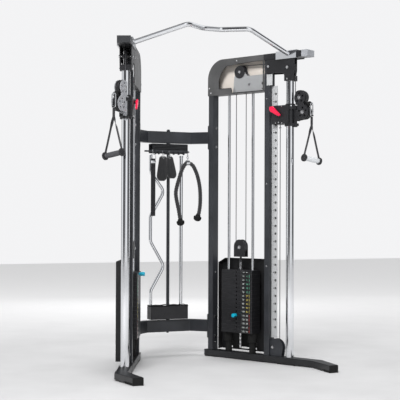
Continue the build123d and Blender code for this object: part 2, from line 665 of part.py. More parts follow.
def swivel(turn):
    """Fork for two pulleys, with its hub and pivot pin."""
    with BuildPart() as fork:
        # hub between the lugs, pivot pin through them, its head and its nut
        for low, high, radius in (
            (LOW_LUG[1] + LUG_GAP, TOP_LUG[0] - LUG_GAP, 11),
            (1511, 1642, PIVOT_R),
            (TOP_LUG[1] + LUG_GAP, 1644.5, 13),
            (1508, LOW_LUG[0] - LUG_GAP, 13),
        ):
            disc(arm_level(turn, low), 0, 0, radius, high - low)
        block(arm_level(turn, 1545), 0, 16, -9, 9, 68)              # web to the fork
        block(arm_level(turn, 1545), 15, 19, -FORK_HALF, FORK_HALF, 68)
        for offset in (FORK_HALF - FORK_T, -FORK_HALF):
            with BuildSketch(arm_along(turn, offset)):
                with Locations(SWIVEL_UPPER):
                    Circle(45)
                with Locations(SWIVEL_LOWER):
                    Circle(45)
                with BuildLine():
                    Polyline(*FORK_CHEEK, close=True)
                make_face()
                with Locations((-85, 1650)):                        # cut off behind x = 15
                    Rectangle(200, 300, mode=CUT)
                with Locations((8, (TOP_LUG[0] + TOP_LUG[1]) / 2)):  # room for the upper lug
                    Rectangle(40, 32, mode=CUT)
                for centre in (SWIVEL_UPPER, SWIVEL_LOWER):
                    with Locations(centre):
                        with PolarLocations(27, 5, start_angle=18):
                            Circle(6.0, mode=CUT)
            extrude(amount=FORK_T)
        for centre in (SWIVEL_UPPER, SWIVEL_LOWER):                 # axles with their nuts
            disc(arm_along(turn, -FORK_HALF), *centre, AXLE_R, 2 * FORK_HALF)
            for sign in (1, -1):
                hexagon(arm_along(turn, sign * FORK_HALF), *centre, 9.5, sign * 5.5)
    return fork.part


# ------------------------------------------------------------------ handles
HANG_X, BALL_X = 124.0, 107.0    # handle and stop ball, outwards from the swivel axis
GRIP_Z, GRIP_HALF, GRIP_END = 1298.0, 65.0, 6.0
BAND_TOP, BAND_LOW = 1572.0, 1490.0
HOOK = [(0, 1657), (14, 1647), (13, 1570), (-13, 1570), (-13, 1647), (0, 1657)]  # (inward, z)
# degrees: tilt drops the outer end of the grip, yaw turns the grip about the vertical
GRIP_POSE = {"right": dict(tilt=8.0, yaw=12.6), "left": dict(tilt=8.5, yaw=-8.0)}


def handle(turn, tilt, yaw):
    """Stop ball, snap hook, webbing and grip."""
    hub = arm_along(turn)
    axis = Vector(hub.origin.X, hub.origin.Y, 0)
    out, inward, up = hub.x_dir, hub.z_dir, Vector(0, 0, 1)
    hang = axis + out * HANG_X
    ball = axis + out * BALL_X + up * CABLE_EXIT_Z
    grip_centre = hang + up * GRIP_Z
    yaw, tilt = radians(yaw), radians(tilt)
    grip = ((inward * -1) * cos(yaw) * cos(tilt) + out * sin(yaw) * cos(tilt)
            - up * sin(tilt))    # direction of the grip, outward
    grip_level = Vector(grip.X, grip.Y, 0).normalized()
    join = hang + up * BAND_LOW
    with BuildPart() as body:
        # stop ball on the cable end, with the eye shank
        with Locations(Location(ball)):
            Sphere(16.5)
        disc(Plane(origin=ball, x_dir=inward, z_dir=out), 0, 0, 4, 24)
        # snap hook: long closed loop of round steel
        with BuildLine(Plane(origin=hang, x_dir=inward, z_dir=out * -1)) as hook:
            FilletPolyline(*HOOK, radius=6, close=False)
        add(swept_rod(hook.line, 4, Transition.ROUND))
        # webbing: one doubled band, then two legs to the ends of the grip
        block(Plane(origin=hang + up * BAND_TOP, x_dir=grip_level, z_dir=(0, 0, 1)),
              -10, 10, -3.5, 3.5, BAND_LOW - BAND_TOP)
        for sign in (1, -1):
            end = grip_centre + grip * (sign * GRIP_HALF)
            start = join + (end - join).normalized() * 2 + up * 3
            leg = end - start
            block(Plane(origin=start, x_dir=up.cross(grip_level), z_dir=leg),
                  -11, 11, -2, 2, leg.length - 3)
        # grip tube with its end discs
        tube_half = GRIP_HALF - GRIP_END
        disc(Plane(origin=grip_centre - grip * tube_half, z_dir=grip), 0, 0, 16, 2 * tube_half)
        for sign in (1, -1):
            disc(Plane(origin=grip_centre + grip * (sign * tube_half), z_dir=grip * sign),
                 0, 0, 24, 14)
    return body.part


for side in SIDES:
    save_side("swivel_bracket", side, swivel(ARM_TURN[side]))
    save_side("handle", side, handle(ARM_TURN[side], **GRIP_POSE[side]))


# ------------------------------------------------------------------ cables
def on_plane(plane, x, y):
    return plane.from_local_coords(Vector(x, y, 0))


def polar(centre, radius, angle):
    return (centre[0] + radius * cos(radians(angle)), centre[1] + radius * sin(radians(angle)))


def wrap(plane, centre, radius, start, end):
    """Arc of the cable round a pulley, angles in degrees."""
    return ThreePointArc(*[on_plane(plane, *polar(centre, radius, angle))
                           for angle in (start, (start + end) / 2, end)])


def run(plane, start, end):
    return Line(on_plane(plane, *start), on_plane(plane, *end))


def cable(turn):
    """From the carriage, round the pulleys of the tower, to the end of the arm."""
    tower, arm = along(), arm_along(turn)
    du, dz = TOP_PULLEY[0] - HOOD_PULLEY[0], TOP_PULLEY[1] - HOOD_PULLEY[1]
    # angle at which the run between the hood and top pulleys touches both
    tangent = degrees(atan2(dz, du)) + degrees(pi / 2 - asin((HOOD_R - TOP_R) / hypot(du, dz)))
    carriage_u = LOWER_PULLEY[0] + LOWER_R
    stack_front, stack_rear = TRAVELLING_PULLEY[0] + HOOD_R, TRAVELLING_PULLEY[0] - HOOD_R
    transfer_top = TRANSFER_FRONT[1] + HOOD_R
    path = Wire([
        run(tower, (carriage_u, CARRIAGE_LOW - 0.2), (carriage_u, LOWER_PULLEY[1])),
        wrap(tower, LOWER_PULLEY, LOWER_R, 0, -180),
        run(tower, (FRONT_U, LOWER_PULLEY[1]), (FRONT_U, TRANSFER_FRONT[1])),
        wrap(tower, TRANSFER_FRONT, HOOD_R, 0, 90),
        run(tower, (TRANSFER_FRONT[0], transfer_top), (TRANSFER_REAR[0], transfer_top)),
        wrap(tower, TRANSFER_REAR, HOOD_R, 90, 180),
        run(tower, (stack_front, TRANSFER_REAR[1]), (stack_front, TRAVELLING_PULLEY[1])),
        wrap(tower, TRAVELLING_PULLEY, HOOD_R, 0, -180),
        run(tower, (stack_rear, TRAVELLING_PULLEY[1]), (stack_rear, HOOD_PULLEY[1])),
        wrap(tower, HOOD_PULLEY, HOOD_R, 180, tangent),
        run(tower, polar(HOOD_PULLEY, HOOD_R, tangent), polar(TOP_PULLEY, TOP_R, tangent)),
        wrap(tower, TOP_PULLEY, TOP_R, tangent, 0),
        run(tower, (PIVOT_U, TOP_PULLEY[1]), (PIVOT_U, SWIVEL_UPPER[1])),
        wrap(arm, SWIVEL_UPPER, SWIVEL_R, 180, 270),
        run(arm, (SWIVEL_UPPER[0], CABLE_EXIT_Z), (86.0, CABLE_EXIT_Z)),
    ])
    return swept_rod(path, CABLE_R)


with BuildPart() as cables:
    add(cable(ARM_TURN["right"]))
    add(other_side(cable(ARM_TURN["left"])))
save(cables.part, "cables")

# ------------------------------------------------------------------ accessory rack
# It turns about a vertical axis through the middle of the crossbeams.  Its pieces are
# drawn from that axis, x to the right and y to the rear.
RACK_X, RACK_Y = MIDDLE_X, REAR_Y + BEAM_Y
HALF_RACK, HALF_TRAY = 127.0, 134.0
FRONT_ROD_Y = -44.0


def rack_level(z):
    return Plane(origin=(RACK_X, RACK_Y, z))


def rack_face(y):
    """Upright plane seen from the front: sketch x to the right, sketch y up."""
    return Plane(origin=(RACK_X, RACK_Y + y, 0), x_dir=(1, 0, 0), z_dir=(0, -1, 0))


with BuildPart() as rack_frame:
    # head channel, pole, upper pivot pin and its two collars
    block(rack_level(1362), -HALF_RACK, HALF_RACK, -38, 38, 63)
    fillet(rack_frame.edges().filter_by(Axis.X), 5)
    block(rack_level(1355), -HALF_RACK - 1, HALF_RACK + 1, -35, 35, 67, CUT)
    disc(rack_level(336), 0, 0, 11, 1088)
    disc(rack_level(1420), 0, 0, PIVOT_R, 104)
    disc(rack_level(1424), 0, 0, 14, 6)
    disc(rack_level(1511), 0, 0, 12, 8)
    # accessory rod along the front, its hooks and the two lugs that hold it
    disc(Plane(origin=(RACK_X - 188, RACK_Y + FRONT_ROD_Y, 1372), x_dir=(0, 1, 0),
               z_dir=(1, 0, 0)), 0, 0, 5.5, 188 + 133)
    for x in (-112, -88, -42, -30, 20, 56, 92):
        block(rack_level(1352), x - 3, x + 3, -58, -36, 6)
        block(rack_level(1352), x - 3, x + 3, -58, -52, 16)
        block(rack_level(1352), x - 3, x + 3, -39, -36, 24)
    for x in (-HALF_RACK + 2, HALF_RACK - 27):
        block(rack_level(1364), x, x + 6, -50, -36, 16)
save(rack_frame.part, "rack_frame")

with BuildPart() as rack_tray:
    block(rack_level(248), -HALF_TRAY, HALF_TRAY, -40, 40, 86)
    fillet(rack_tray.edges().filter_by(Axis.Z), 6)
    block(rack_level(252), -HALF_TRAY + 3, HALF_TRAY - 3, -37, 37, 90, CUT)
    # socket of the pole, two collars and the lower pivot pin: (z, radius, height)
    for z, radius, height in ((250, 15, 85), (247, 14, 3), (242, 14, 6), (155, PIVOT_R, 95)):
        disc(rack_level(z), 0, 0, radius, height)
save(rack_tray.part, "rack_tray")

with BuildPart() as straight_bar:
    # bar and its two end rings: (z, radius, height)
    for z, radius, height in ((254, 12.5, 1094), (254, 15, 18), (1336, 15, 12)):
        disc(rack_level(z), 95, 0, radius, height)
save(straight_bar.part, "straight_bar")

# (x, z) corners of the curl bar, from the top
CURL_BAR = [(-119, 1350), (-119, 1233), (-22, 1106), (-120, 938), (-120, 768), (-22, 602),
            (-117, 437), (-117, 262)]
with BuildLine(rack_face(18)) as curl_path:
    FilletPolyline(*CURL_BAR, radius=52)
save(swept_rod(curl_path.line, 11.5), "curl_bar")

# ------------------------------------------------------------------ soft accessories
# (x, z) points of the rope, from one end ball to the other
ROPE = [(72, 906), (57, 991), (38, 1094), (62, 1190), (122, 1299), (188, 1235), (214, 1134),
        (217, 1021), (200, 936)]
with BuildPart() as triceps_rope:
    with BuildLine(rack_face(FRONT_ROD_Y)) as rope_path:
        Spline(*ROPE)
    add(swept_rod(rope_path.line, 13))
    rope_y = RACK_Y + FRONT_ROD_Y
    with Locations(Location((RACK_X + 72, rope_y, 898)), Location((RACK_X + 199, rope_y, 928))):
        Sphere(27)
    disc(rack_level(1300), 123, FRONT_ROD_Y, 5, 65.5)
save(triceps_rope.part, "triceps_rope")

with BuildPart() as long_strap:
    block(rack_level(943), -149, -117, -64, -58, 372)
    disc(rack_level(1315), -133, -61, 4, 36)
save(long_strap.part, "long_strap")

# foot and top middle x, low and high z, half widths at the foot and at the top
CUFFS = ((-74, -65, 1176, 1336, 37.5, 25), (0, -17, 1194, 1336, 34.5, 20))
CUFF_PLANE = Plane(origin=(RACK_X, RACK_Y - 76, 0), x_dir=(1, 0, 0), z_dir=(0, 1, 0))
with BuildPart() as ankle_cuffs:
    for foot_x, top_x, low, high, foot_half, top_half in CUFFS:
        # sketch y points down on this plane
        prism(CUFF_PLANE, [(top_x - top_half, -high), (top_x + top_half, -high),
                           (foot_x + foot_half, -(low + 40)), (foot_x + foot_half - 14, -low),
                           (foot_x - foot_half + 14, -low), (foot_x - foot_half, -(low + 40))],
              17)
save(ankle_cuffs.part, "ankle_cuffs")
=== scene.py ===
"""Looks of a cable machine with two splayed towers and an accessory rack between them.

Metres, +Z up, front toward -Y. The right tower stands on the +X side and the left one is
its mirror image. Sizes are mostly written in millimetres and divided by 1000 on placing.
"""
import functools
import json
import math
import random
from math import sin, cos, pi, radians

import bmesh
import bpy
import numpy as np
from mathutils import Vector, Matrix


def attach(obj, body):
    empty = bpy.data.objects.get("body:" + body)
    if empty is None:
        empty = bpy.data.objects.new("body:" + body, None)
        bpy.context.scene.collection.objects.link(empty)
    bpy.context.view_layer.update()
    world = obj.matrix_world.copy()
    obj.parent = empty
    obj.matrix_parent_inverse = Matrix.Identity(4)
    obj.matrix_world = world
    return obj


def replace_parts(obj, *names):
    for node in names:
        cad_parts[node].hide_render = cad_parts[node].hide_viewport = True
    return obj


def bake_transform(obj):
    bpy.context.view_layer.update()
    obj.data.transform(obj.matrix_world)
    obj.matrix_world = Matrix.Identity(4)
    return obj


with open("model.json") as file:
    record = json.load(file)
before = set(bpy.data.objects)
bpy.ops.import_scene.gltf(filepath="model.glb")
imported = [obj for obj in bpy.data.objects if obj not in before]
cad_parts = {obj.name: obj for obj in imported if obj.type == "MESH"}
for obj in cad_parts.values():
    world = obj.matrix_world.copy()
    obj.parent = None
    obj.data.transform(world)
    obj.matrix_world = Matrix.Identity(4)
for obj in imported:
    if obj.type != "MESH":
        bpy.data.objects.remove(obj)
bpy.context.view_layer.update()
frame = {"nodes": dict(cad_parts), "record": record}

random.seed(7)

SIDES = ("right", "left")
UNIT_X, UNIT_Y, UNIT_Z = Vector((1, 0, 0)), Vector((0, 1, 0)), Vector((0, 0, 1))
ORIGIN = Vector((0, 0, 0))

# ---------------------------------------------------------------- tower coordinates, mm
CENTRE_X, TOWER_Y = 12.93, 416.0        # mirror plane, and y of the tower origins
TOWER_X = 281.2                         # tower origin from the mirror plane
SPLAY = radians(25.73)                  # turn of each tower's u axis away from -Y
S, C = sin(SPLAY), cos(SPLAY)
SWIVEL_U = 673                          # vertical axis the pulley arm turns on
ARM_TURN = {"right": 0.0, "left": 27.0}  # outward turn of the arm, degrees


def mirror(v):
    return Vector((2 * CENTRE_X / 1000 - v.x, v.y, v.z))


def tower(side, u, w, z):
    """Point on a tower, mm in: u runs to the front, w inward, z up."""
    v = Vector(((TOWER_X + CENTRE_X + u * S - w * C) / 1000,
                (TOWER_Y - u * C - w * S) / 1000, z / 1000))
    return v if side == "right" else mirror(v)


def tower_dir(side, u, w):
    v = Vector((u * S - w * C, -u * C - w * S, 0.0))
    return v if side == "right" else Vector((-v.x, v.y, v.z))


def arm_axes(side):
    """Outward and inward axes of the turned arm, before mirroring."""
    turn = radians(ARM_TURN[side])
    along = Vector((S, -C, 0)) * cos(turn) + Vector((C, S, 0)) * sin(turn)
    inward = Vector((-C, -S, 0)) * cos(turn) + Vector((S, -C, 0)) * sin(turn)
    return along, inward


def arm(side, x, z, off=0.0):
    """Point on the turned pulley arm, mm in: x out from the swivel axis, off inward."""
    along, inward = arm_axes(side)
    origin = Vector(((TOWER_X + CENTRE_X + SWIVEL_U * S) / 1000,
                     (TOWER_Y - SWIVEL_U * C) / 1000, z / 1000))
    v = origin + (along * x + inward * off) / 1000
    return v if side == "right" else mirror(v)


def arm_dir(side, x, off):
    along, inward = arm_axes(side)
    v = along * x + inward * off
    return v if side == "right" else Vector((-v.x, v.y, v.z))


# ---------------------------------------------------------------- node shorthand
class Nodes:
    """Shorthand for filling a node tree."""

    def __init__(self, tree):
        self.tree = tree
        tree.nodes.clear()

    def node(self, kind, **settings):
        node = self.tree.nodes.new(kind)
        for key, value in settings.items():
            setattr(node, key, value)
        return node

    def link(self, source, target):
        self.tree.links.new(source, target)

    def feed(self, target, value):
        """Sets an input to a number or a colour, or links a socket to it."""
        if isinstance(value, (int, float)):
            target.default_value = value
        elif isinstance(value, tuple):
            target.default_value = (*value, 1)
        else:
            self.link(value, target)

    def math(self, operation, *values):
        node = self.node("ShaderNodeMath", operation=operation)
        for target, value in zip(node.inputs, values):
            self.feed(target, value)
        return node.outputs[0]

    def remap(self, value, src, to=(0.0, 1.0)):
        """Maps the range src onto the range to, clamped."""
        node = self.node("ShaderNodeMapRange", clamp=True)
        names = ("From Min", "From Max", "To Min", "To Max")
        for name, number in zip(names, (*src, *to)):
            node.inputs[name].default_value = number
        self.link(value, node.inputs["Value"])
        return node.outputs[0]

    def mix(self, factor, first, second):
        node = self.node("ShaderNodeMix", data_type="RGBA")
        for index, value in ((0, factor), (6, first), (7, second)):
            self.feed(node.inputs[index], value)
        return node.outputs[2]


BSDF_INPUTS = {"color": "Base Color", "rough": "Roughness", "metal": "Metallic",
               "spec": "Specular IOR Level", "coat": "Coat Weight",
               "coat_rough": "Coat Roughness", "sheen": "Sheen Weight",
               "sss": "Subsurface Weight"}


class Shader(Nodes):
    """A material with one Principled BSDF."""

    def __init__(self, name):
        self.material = bpy.data.materials.new(name)
        self.material.use_nodes = True
        super().__init__(self.material.node_tree)
        output = self.node("ShaderNodeOutputMaterial")
        self.bsdf = self.node("ShaderNodeBsdfPrincipled")
        self.link(self.bsdf.outputs[0], output.inputs[0])

    def set(self, **values):
        for key, value in values.items():
            self.feed(self.bsdf.inputs[BSDF_INPUTS[key]], value)

    def coord(self, scale=(1, 1, 1), source="Object"):
        mapping = self.node("ShaderNodeMapping")
        mapping.inputs["Scale"].default_value = scale
        self.link(self.node("ShaderNodeTexCoord").outputs[source], mapping.inputs[0])
        return mapping.outputs[0]

    def noise(self, scale, detail=3.0, stretch=(1, 1, 1)):
        node = self.node("ShaderNodeTexNoise")
        node.inputs["Scale"].default_value = scale
        node.inputs["Detail"].default_value = detail
        node.inputs["Roughness"].default_value = 0.55
        self.link(self.coord(stretch), node.inputs["Vector"])
        return node.outputs[0]

    def vary(self, factor, color, spread):
        """The colour, from darker to lighter by spread."""
        return self.mix(factor, shade(color, 1 - spread), shade(color, 1 + spread))

    def rounded(self, radius):
        """Normal with its edges rounded."""
        bevel = self.node("ShaderNodeBevel", samples=4)
        bevel.inputs[0].default_value = radius
        return bevel.outputs[0]

    def edge_mask(self, rounded_normal):
        """1 along edges, where the rounded normal leaves the true one."""
        dot = self.node("ShaderNodeVectorMath", operation="DOT_PRODUCT")
        self.link(rounded_normal, dot.inputs[0])
        self.link(self.node("ShaderNodeNewGeometry").outputs["Normal"], dot.inputs[1])
        return self.remap(dot.outputs["Value"], src=(0.88, 0.999), to=(1.0, 0.0))

    def bump(self, height, strength, distance, normal=None):
        node = self.node("ShaderNodeBump")
        node.inputs["Strength"].default_value = strength
        node.inputs["Distance"].default_value = distance
        self.link(height, node.inputs["Height"])
        if normal is not None:
            self.link(normal, node.inputs["Normal"])
        self.link(node.outputs[0], self.bsdf.inputs["Normal"])


def shade(color, gain, lift=0.0):
    return tuple(min(1, c * gain + lift) for c in color)


# ---------------------------------------------------------------- material families
def coated(name, color, rough=0.42, grain=900, grain_h=0.00012, wear=0.25,
           wear_color=(0.32, 0.32, 0.33), radius=0.0014, var=0.25):
    """Powder coat: fine orange peel, faint cloudiness, scuffed edges."""
    k = Shader(name)
    normal = k.rounded(radius)
    base = k.vary(k.remap(k.noise(scale=6, detail=4), src=(0.35, 0.7)), color, var)
    patches = k.remap(k.noise(scale=55), src=(0.48, 0.72), to=(0.0, wear))
    scratch = k.math("MULTIPLY", k.edge_mask(normal), patches)
    cloudy = k.remap(k.noise(scale=18, detail=4), src=(0.3, 0.75),
                     to=(rough - 0.07, rough + 0.09))
    k.set(color=k.mix(scratch, base, wear_color), spec=0.5,
          rough=k.math("ADD", cloudy, k.math("MULTIPLY", scratch, -0.1)))
    k.bump(k.noise(scale=grain, detail=2), strength=0.35, distance=grain_h, normal=normal)
    return k


def metal(name, color, rough=0.2, brush=(1, 1, 1), scale=300, bump_h=0.00004, metallic=1.0):
    """Bare metal: brushed streaks and faint smudges."""
    k = Shader(name)
    normal = k.rounded(0.0008)
    streak = k.noise(scale=scale, stretch=brush)
    smudge = k.noise(scale=9, detail=4)
    tone = k.mix(k.remap(smudge, src=(0.3, 0.75)), shade(color, 0.94), color)
    streak_rough = k.remap(streak, src=(0.3, 0.7), to=(rough * 0.75, rough * 1.25))
    smudge_rough = k.remap(smudge, src=(0.45, 0.75), to=(0.0, rough * 0.35))
    k.set(color=tone, metal=metallic, rough=k.math("ADD", streak_rough, smudge_rough))
    k.bump(streak, strength=0.25, distance=bump_h, normal=normal)
    return k


def plastic(name, color, rough=0.4, grain=1200, grain_h=0.0001, var=0.12, coat=0.0,
            spec=0.5, sss=0.0):
    """Moulded plastic or rubber: fine grain, edges rubbed paler."""
    k = Shader(name)
    normal = k.rounded(0.0012)
    base = k.vary(k.remap(k.noise(scale=24), src=(0.3, 0.7)), color, var)
    patches = k.remap(k.noise(scale=130, detail=2), src=(0.42, 0.66), to=(0.0, 0.12))
    worn = k.math("MULTIPLY", k.edge_mask(normal), patches)
    k.set(color=k.mix(worn, base, shade(color, 1.6, lift=0.08)), spec=spec, coat=coat,
          coat_rough=0.15, sss=sss,
          rough=k.remap(k.noise(scale=40, detail=4), src=(0.3, 0.75),
                        to=(rough - 0.06, rough + 0.1)))
    k.bump(k.noise(scale=grain, detail=2), strength=0.4, distance=grain_h, normal=normal)
    return k


def woven(name, color, freq=(900, 900), rough=0.8, height=0.0004, diagonal=False, crease_shade_reach=0.0):
    """Cloth: warp and weft from the piece's UV in metres, with fibre noise.

    The last argument is the reach of the painted shade that darkens the creases.
    """
    k = Shader(name)
    split = k.node("ShaderNodeSeparateXYZ")
    k.link(k.coord(source="UV"), split.inputs[0])
    x, y = split.outputs[0], split.outputs[1]
    if diagonal:
        x, y = k.math("ADD", x, y), k.math("SUBTRACT", x, y)
    warp = k.math("SINE", k.math("MULTIPLY", x, freq[0]))
    weft = k.math("SINE", k.math("MULTIPLY", y, freq[1]))
    weave = k.math("ADD", k.math("MULTIPLY", k.math("MULTIPLY", warp, weft), 0.5), 0.5)
    fibre = k.math("MULTIPLY", k.noise(scale=1400, detail=2), 0.35)
    relief = k.math("ADD", weave, fibre)
    tone = k.vary(k.remap(relief, src=(0.2, 1.2)), color, 0.3)
    # Painted shade: ambient occlusion darkens the colour in the creases.
    if crease_shade_reach:
        occlusion = k.node("ShaderNodeAmbientOcclusion", samples=8)
        occlusion.inputs["Distance"].default_value = crease_shade_reach
        openness = k.remap(occlusion.outputs["AO"], src=(0.35, 0.85))
        tone = k.mix(openness, shade(color, 0.08), tone)
    k.set(color=tone, sheen=0.35, spec=0.25,
          rough=k.remap(k.noise(scale=35), src=(0.3, 0.7),
                        to=(rough - 0.08, min(1, rough + 0.1))))
    k.bump(relief, strength=0.55, distance=height)
    return k


GLOSSY = dict(sss=0.03, grain=1800, grain_h=0.00005)
CYAN = dict(color=(0.006, 0.42, 0.60), rough=0.27, coat=0.4, **GLOSSY)


def base_color(k):
    return k.bsdf.inputs["Base Color"].links[0].from_socket


def end_cap_pair():
    """Grey caps beyond x = 13 mm, near-black ones on the other side: the near-black is painted
    shade on caps of the same grey moulding.
    """
    k = plastic("end_cap_moulding_with_painted_shade", (0.30, 0.31, 0.33), rough=0.42)
    split = k.node("ShaderNodeSeparateXYZ")
    k.link(k.node("ShaderNodeTexCoord").outputs["Object"], split.inputs[0])
    # Painted shade: the caps on the left side are made near-black.
    right = k.math("GREATER_THAN", split.outputs[0], 0.013)
    k.set(color=k.mix(right, (0.030, 0.031, 0.034), base_color(k)))
    return k


def selector_pin(side):
    """Coloured knob on a bright steel shank, split by the distance across the tower."""
    k = plastic(f"selector_pin_{side}_finish", **CYAN)
    origin = tower(side, 0, 0, 0)
    inward = (tower(side, 0, 1, 0) - origin).normalized()
    across = k.node("ShaderNodeVectorMath", operation="DOT_PRODUCT")
    across.inputs[1].default_value = inward
    k.link(k.node("ShaderNodeTexCoord").outputs["Object"], across.inputs[0])
    knob = k.math("GREATER_THAN", across.outputs["Value"], origin.dot(inward) + 0.0485)
    k.set(color=k.mix(knob, (0.70, 0.71, 0.73), base_color(k)),
          metal=k.math("SUBTRACT", 1.0, knob))
    return k


BRUSHED = dict(brush=(1, 1, 0.08), scale=900, bump_h=0.00001)
SHADERS = {
    "frame_paint": coated("frame_powder_coat", (0.029, 0.031, 0.036), rough=0.40),
    "hood_paint": coated("hood_powder_coat", (0.070, 0.070, 0.071), rough=0.46,
                         grain=1300, grain_h=0.0002),
    "shroud_paint": coated("shroud_powder_coat", (0.012, 0.012, 0.013), rough=0.50),
    "plate_steel": coated("weight_plate_enamel", (0.016, 0.016, 0.018), rough=0.44,
                          grain=420, grain_h=0.00022, wear=0.55, radius=0.0010),
    "chrome": metal("chrome_plating", (0.80, 0.81, 0.83), rough=0.085,
                    brush=(1, 1, 0.02), scale=500, bump_h=0.00001),
    "silver_steel": metal("satin_silver_plate", (0.58, 0.59, 0.62), rough=0.36,
                          metallic=0.66, **BRUSHED),
    "plate_silver": metal("bright_pulley_plate", (0.56, 0.57, 0.58), rough=0.42,
                          metallic=0.62, **BRUSHED),
    "frame_dark": coated("black_powder_coat", (0.015, 0.015, 0.017), rough=0.42),
    # Painted shade: a darker copy of the frame coat for the base tubes.
    "base_shaded": coated("base_powder_coat_painted_shade", (0.014, 0.0145, 0.016), rough=0.40),
    "zinc": metal("zinc_strip", (0.64, 0.65, 0.66), rough=0.46, brush=(1, 1, 0.05),
                  scale=700, metallic=0.35),
    "bolt_steel": metal("bright_zinc_bolt", (0.78, 0.78, 0.79), rough=0.22, scale=900),
    "rubber": plastic("moulded_rubber", (0.014, 0.014, 0.014), rough=0.82, grain=700,
                      grain_h=0.0003, spec=0.25),
    "black_plastic": plastic("black_moulding", (0.018, 0.018, 0.020), rough=0.45),
    "pulley_nylon": plastic("pulley_nylon", (0.020, 0.020, 0.022), rough=0.34, grain=1500),
    "red_plastic": plastic("red_lever_plastic", (0.75, 0.010, 0.060), rough=0.30,
                           coat=0.35, **GLOSSY),
    "cyan_plastic": plastic("cyan_knob_plastic", **CYAN),
    "cap_grey": plastic("grey_end_cap", (0.24, 0.25, 0.27), rough=0.42),
    "caps_grey_and_shaded": end_cap_pair(),
    "webbing": woven("nylon_webbing", (0.020, 0.020, 0.023), freq=(2200, 1500),
                     height=0.0005),
    # The rope gets painted shade in the creases between its strands.
    "rope": woven("braided_rope", (0.042, 0.042, 0.045), height=0.0006, diagonal=True,
                  crease_shade_reach=0.009),
    # The piping is real tape; its paler colour is partly painted highlight along the cuff edges.
    "piping": woven("piping_tape_with_highlight", (0.085, 0.085, 0.088), freq=(2400, 2400),
                    height=0.0002, rough=0.6),
    "neoprene": woven("padded_neoprene", (0.026, 0.026, 0.028), freq=(2600, 2600),
                      height=0.00025, rough=0.72),
    "cable_jacket": plastic("cable_jacket", (0.05, 0.05, 0.055), rough=0.3, spec=0.6,
                            grain=2400, grain_h=0.00004),
    "liner": coated("hood_liner_coat", (0.84, 0.77, 0.70), rough=0.5, wear=0.05,
                    wear_color=(0.6, 0.55, 0.5), var=0.04, grain=1500),
    "foam": plastic("closed_cell_foam", (0.016, 0.016, 0.017), rough=0.9, grain=1000,
                    grain_h=0.0005, spec=0.2, var=0.25),
    "saddle": metal("polished_saddle_plate", (0.82, 0.83, 0.85), rough=0.16, scale=240),
    "ink_pale": plastic("label_ink_pale", (0.62, 0.66, 0.64), rough=0.55),
    "ink_green": plastic("label_ink_green", (0.16, 0.50, 0.33), rough=0.55),
    "ink_yellow": plastic("label_ink_yellow", (0.72, 0.60, 0.14), rough=0.55),
    "ink_red": plastic("label_ink_red", (0.60, 0.06, 0.05), rough=0.55),
    # Dark ink for the strip numbers, also used as painted shade in the strip holes.
    "dark_ink_and_shade": plastic("dark_ink_and_painted_shade", (0.02, 0.02, 0.02), rough=0.6),
    "label": plastic("label_film", (0.014, 0.014, 0.015), rough=0.30, coat=0.2),
    "grip_silver": metal("knurled_grip_silver", (0.78, 0.80, 0.82), rough=0.35, scale=900,
                         bump_h=0.0002, metallic=0.35),
    "grip_dark": plastic("grip_dark_rubber", (0.06, 0.06, 0.065), rough=0.55, grain=900,
                         grain_h=0.0003),
    "pin_right": selector_pin("right"),
    "pin_left": selector_pin("left"),
}
MATERIALS = {key: shader.material for key, shader in SHADERS.items()}


# ---------------------------------------------------------------- the CAD pieces
def read_column(items, name, width=1, kind=float):
    values = np.zeros(len(items) * width, kind)
    items.foreach_get(name, values)
    return values.reshape(-1, width) if width > 1 else values


def soften(obj, limit=32.0):
    """Smooth normals across faces meeting within the limit; the shape is untouched."""
    mesh = obj.data
    loop_verts = read_column(mesh.loops, "vertex_index", kind=np.int64)
    places = read_column(mesh.vertices, "co", 3)
    face_normals = read_column(mesh.polygons, "normal", 3)
    face_areas = read_column(mesh.polygons, "area")
    face_sizes = read_column(mesh.polygons, "loop_total", kind=np.int64)
    loop_faces = np.repeat(np.arange(len(mesh.polygons)), face_sizes)
    # Loops are grouped by place, so that doubled vertices count as one.
    keys = np.round(places * 1e5).astype(np.int64)
    groups = np.unique(keys, axis=0, return_inverse=True)[1].reshape(-1)[loop_verts]
    order = np.argsort(groups, kind="stable")
    cuts = np.flatnonzero(np.diff(groups[order])) + 1
    normals = np.zeros((len(loop_verts), 3))
    limit_cos = cos(radians(limit))
    for loops in np.split(order, cuts):
        faces = loop_faces[loops]
        around = face_normals[faces]
        weights = (around @ around.T > limit_cos) * face_areas[faces][None, :]
        total = weights @ around
        length = np.maximum(np.linalg.norm(total, axis=1), 1e-12)
        normals[loops] = total / length[:, None]
    mesh.polygons.foreach_set("use_smooth", np.ones(len(mesh.polygons), bool))
    mesh.normals_split_custom_set([tuple(v) for v in normals])


SLOT_OF = {part["node"]: part["material_slot"] for part in frame["record"]["subparts"]}
# Pieces whose material differs from their slot.
OVERRIDE = {
    "tube_end_caps": "caps_grey_and_shaded", "adjustment_strips": "zinc", "pulley_plates": "plate_silver",
    # The swivel brackets are one dark painted steel, yet only the right one is made dark here; the
    # left one keeps a paler finish from its slot, painted light on its lit cheeks.
    "column_top_brackets": "frame_dark", "swivel_bracket_right": "frame_dark",
    # Painted shade: the base tubes take the darker copy of the frame coat.
    "base_tube_right": "base_shaded", "base_tube_left": "base_shaded",
    "carriage_right": "frame_dark", "carriage_left": "frame_dark",
    "head_plate_right": "plate_steel", "head_plate_left": "plate_steel",
    "selector_pin_right": "pin_right", "selector_pin_left": "pin_left"}
for node_name, cad_piece in frame["nodes"].items():
    finish = MATERIALS[OVERRIDE.get(node_name, SLOT_OF[node_name])]
    cad_piece.data.materials.clear()
    cad_piece.data.materials.append(finish)
    soften(cad_piece)


# ---------------------------------------------------------------- mesh helpers
# A shell is (vertices, faces, UV per vertex).
def link_object(name, data):
    obj = bpy.data.objects.new(name, data)
    bpy.context.scene.collection.objects.link(obj)
    return obj


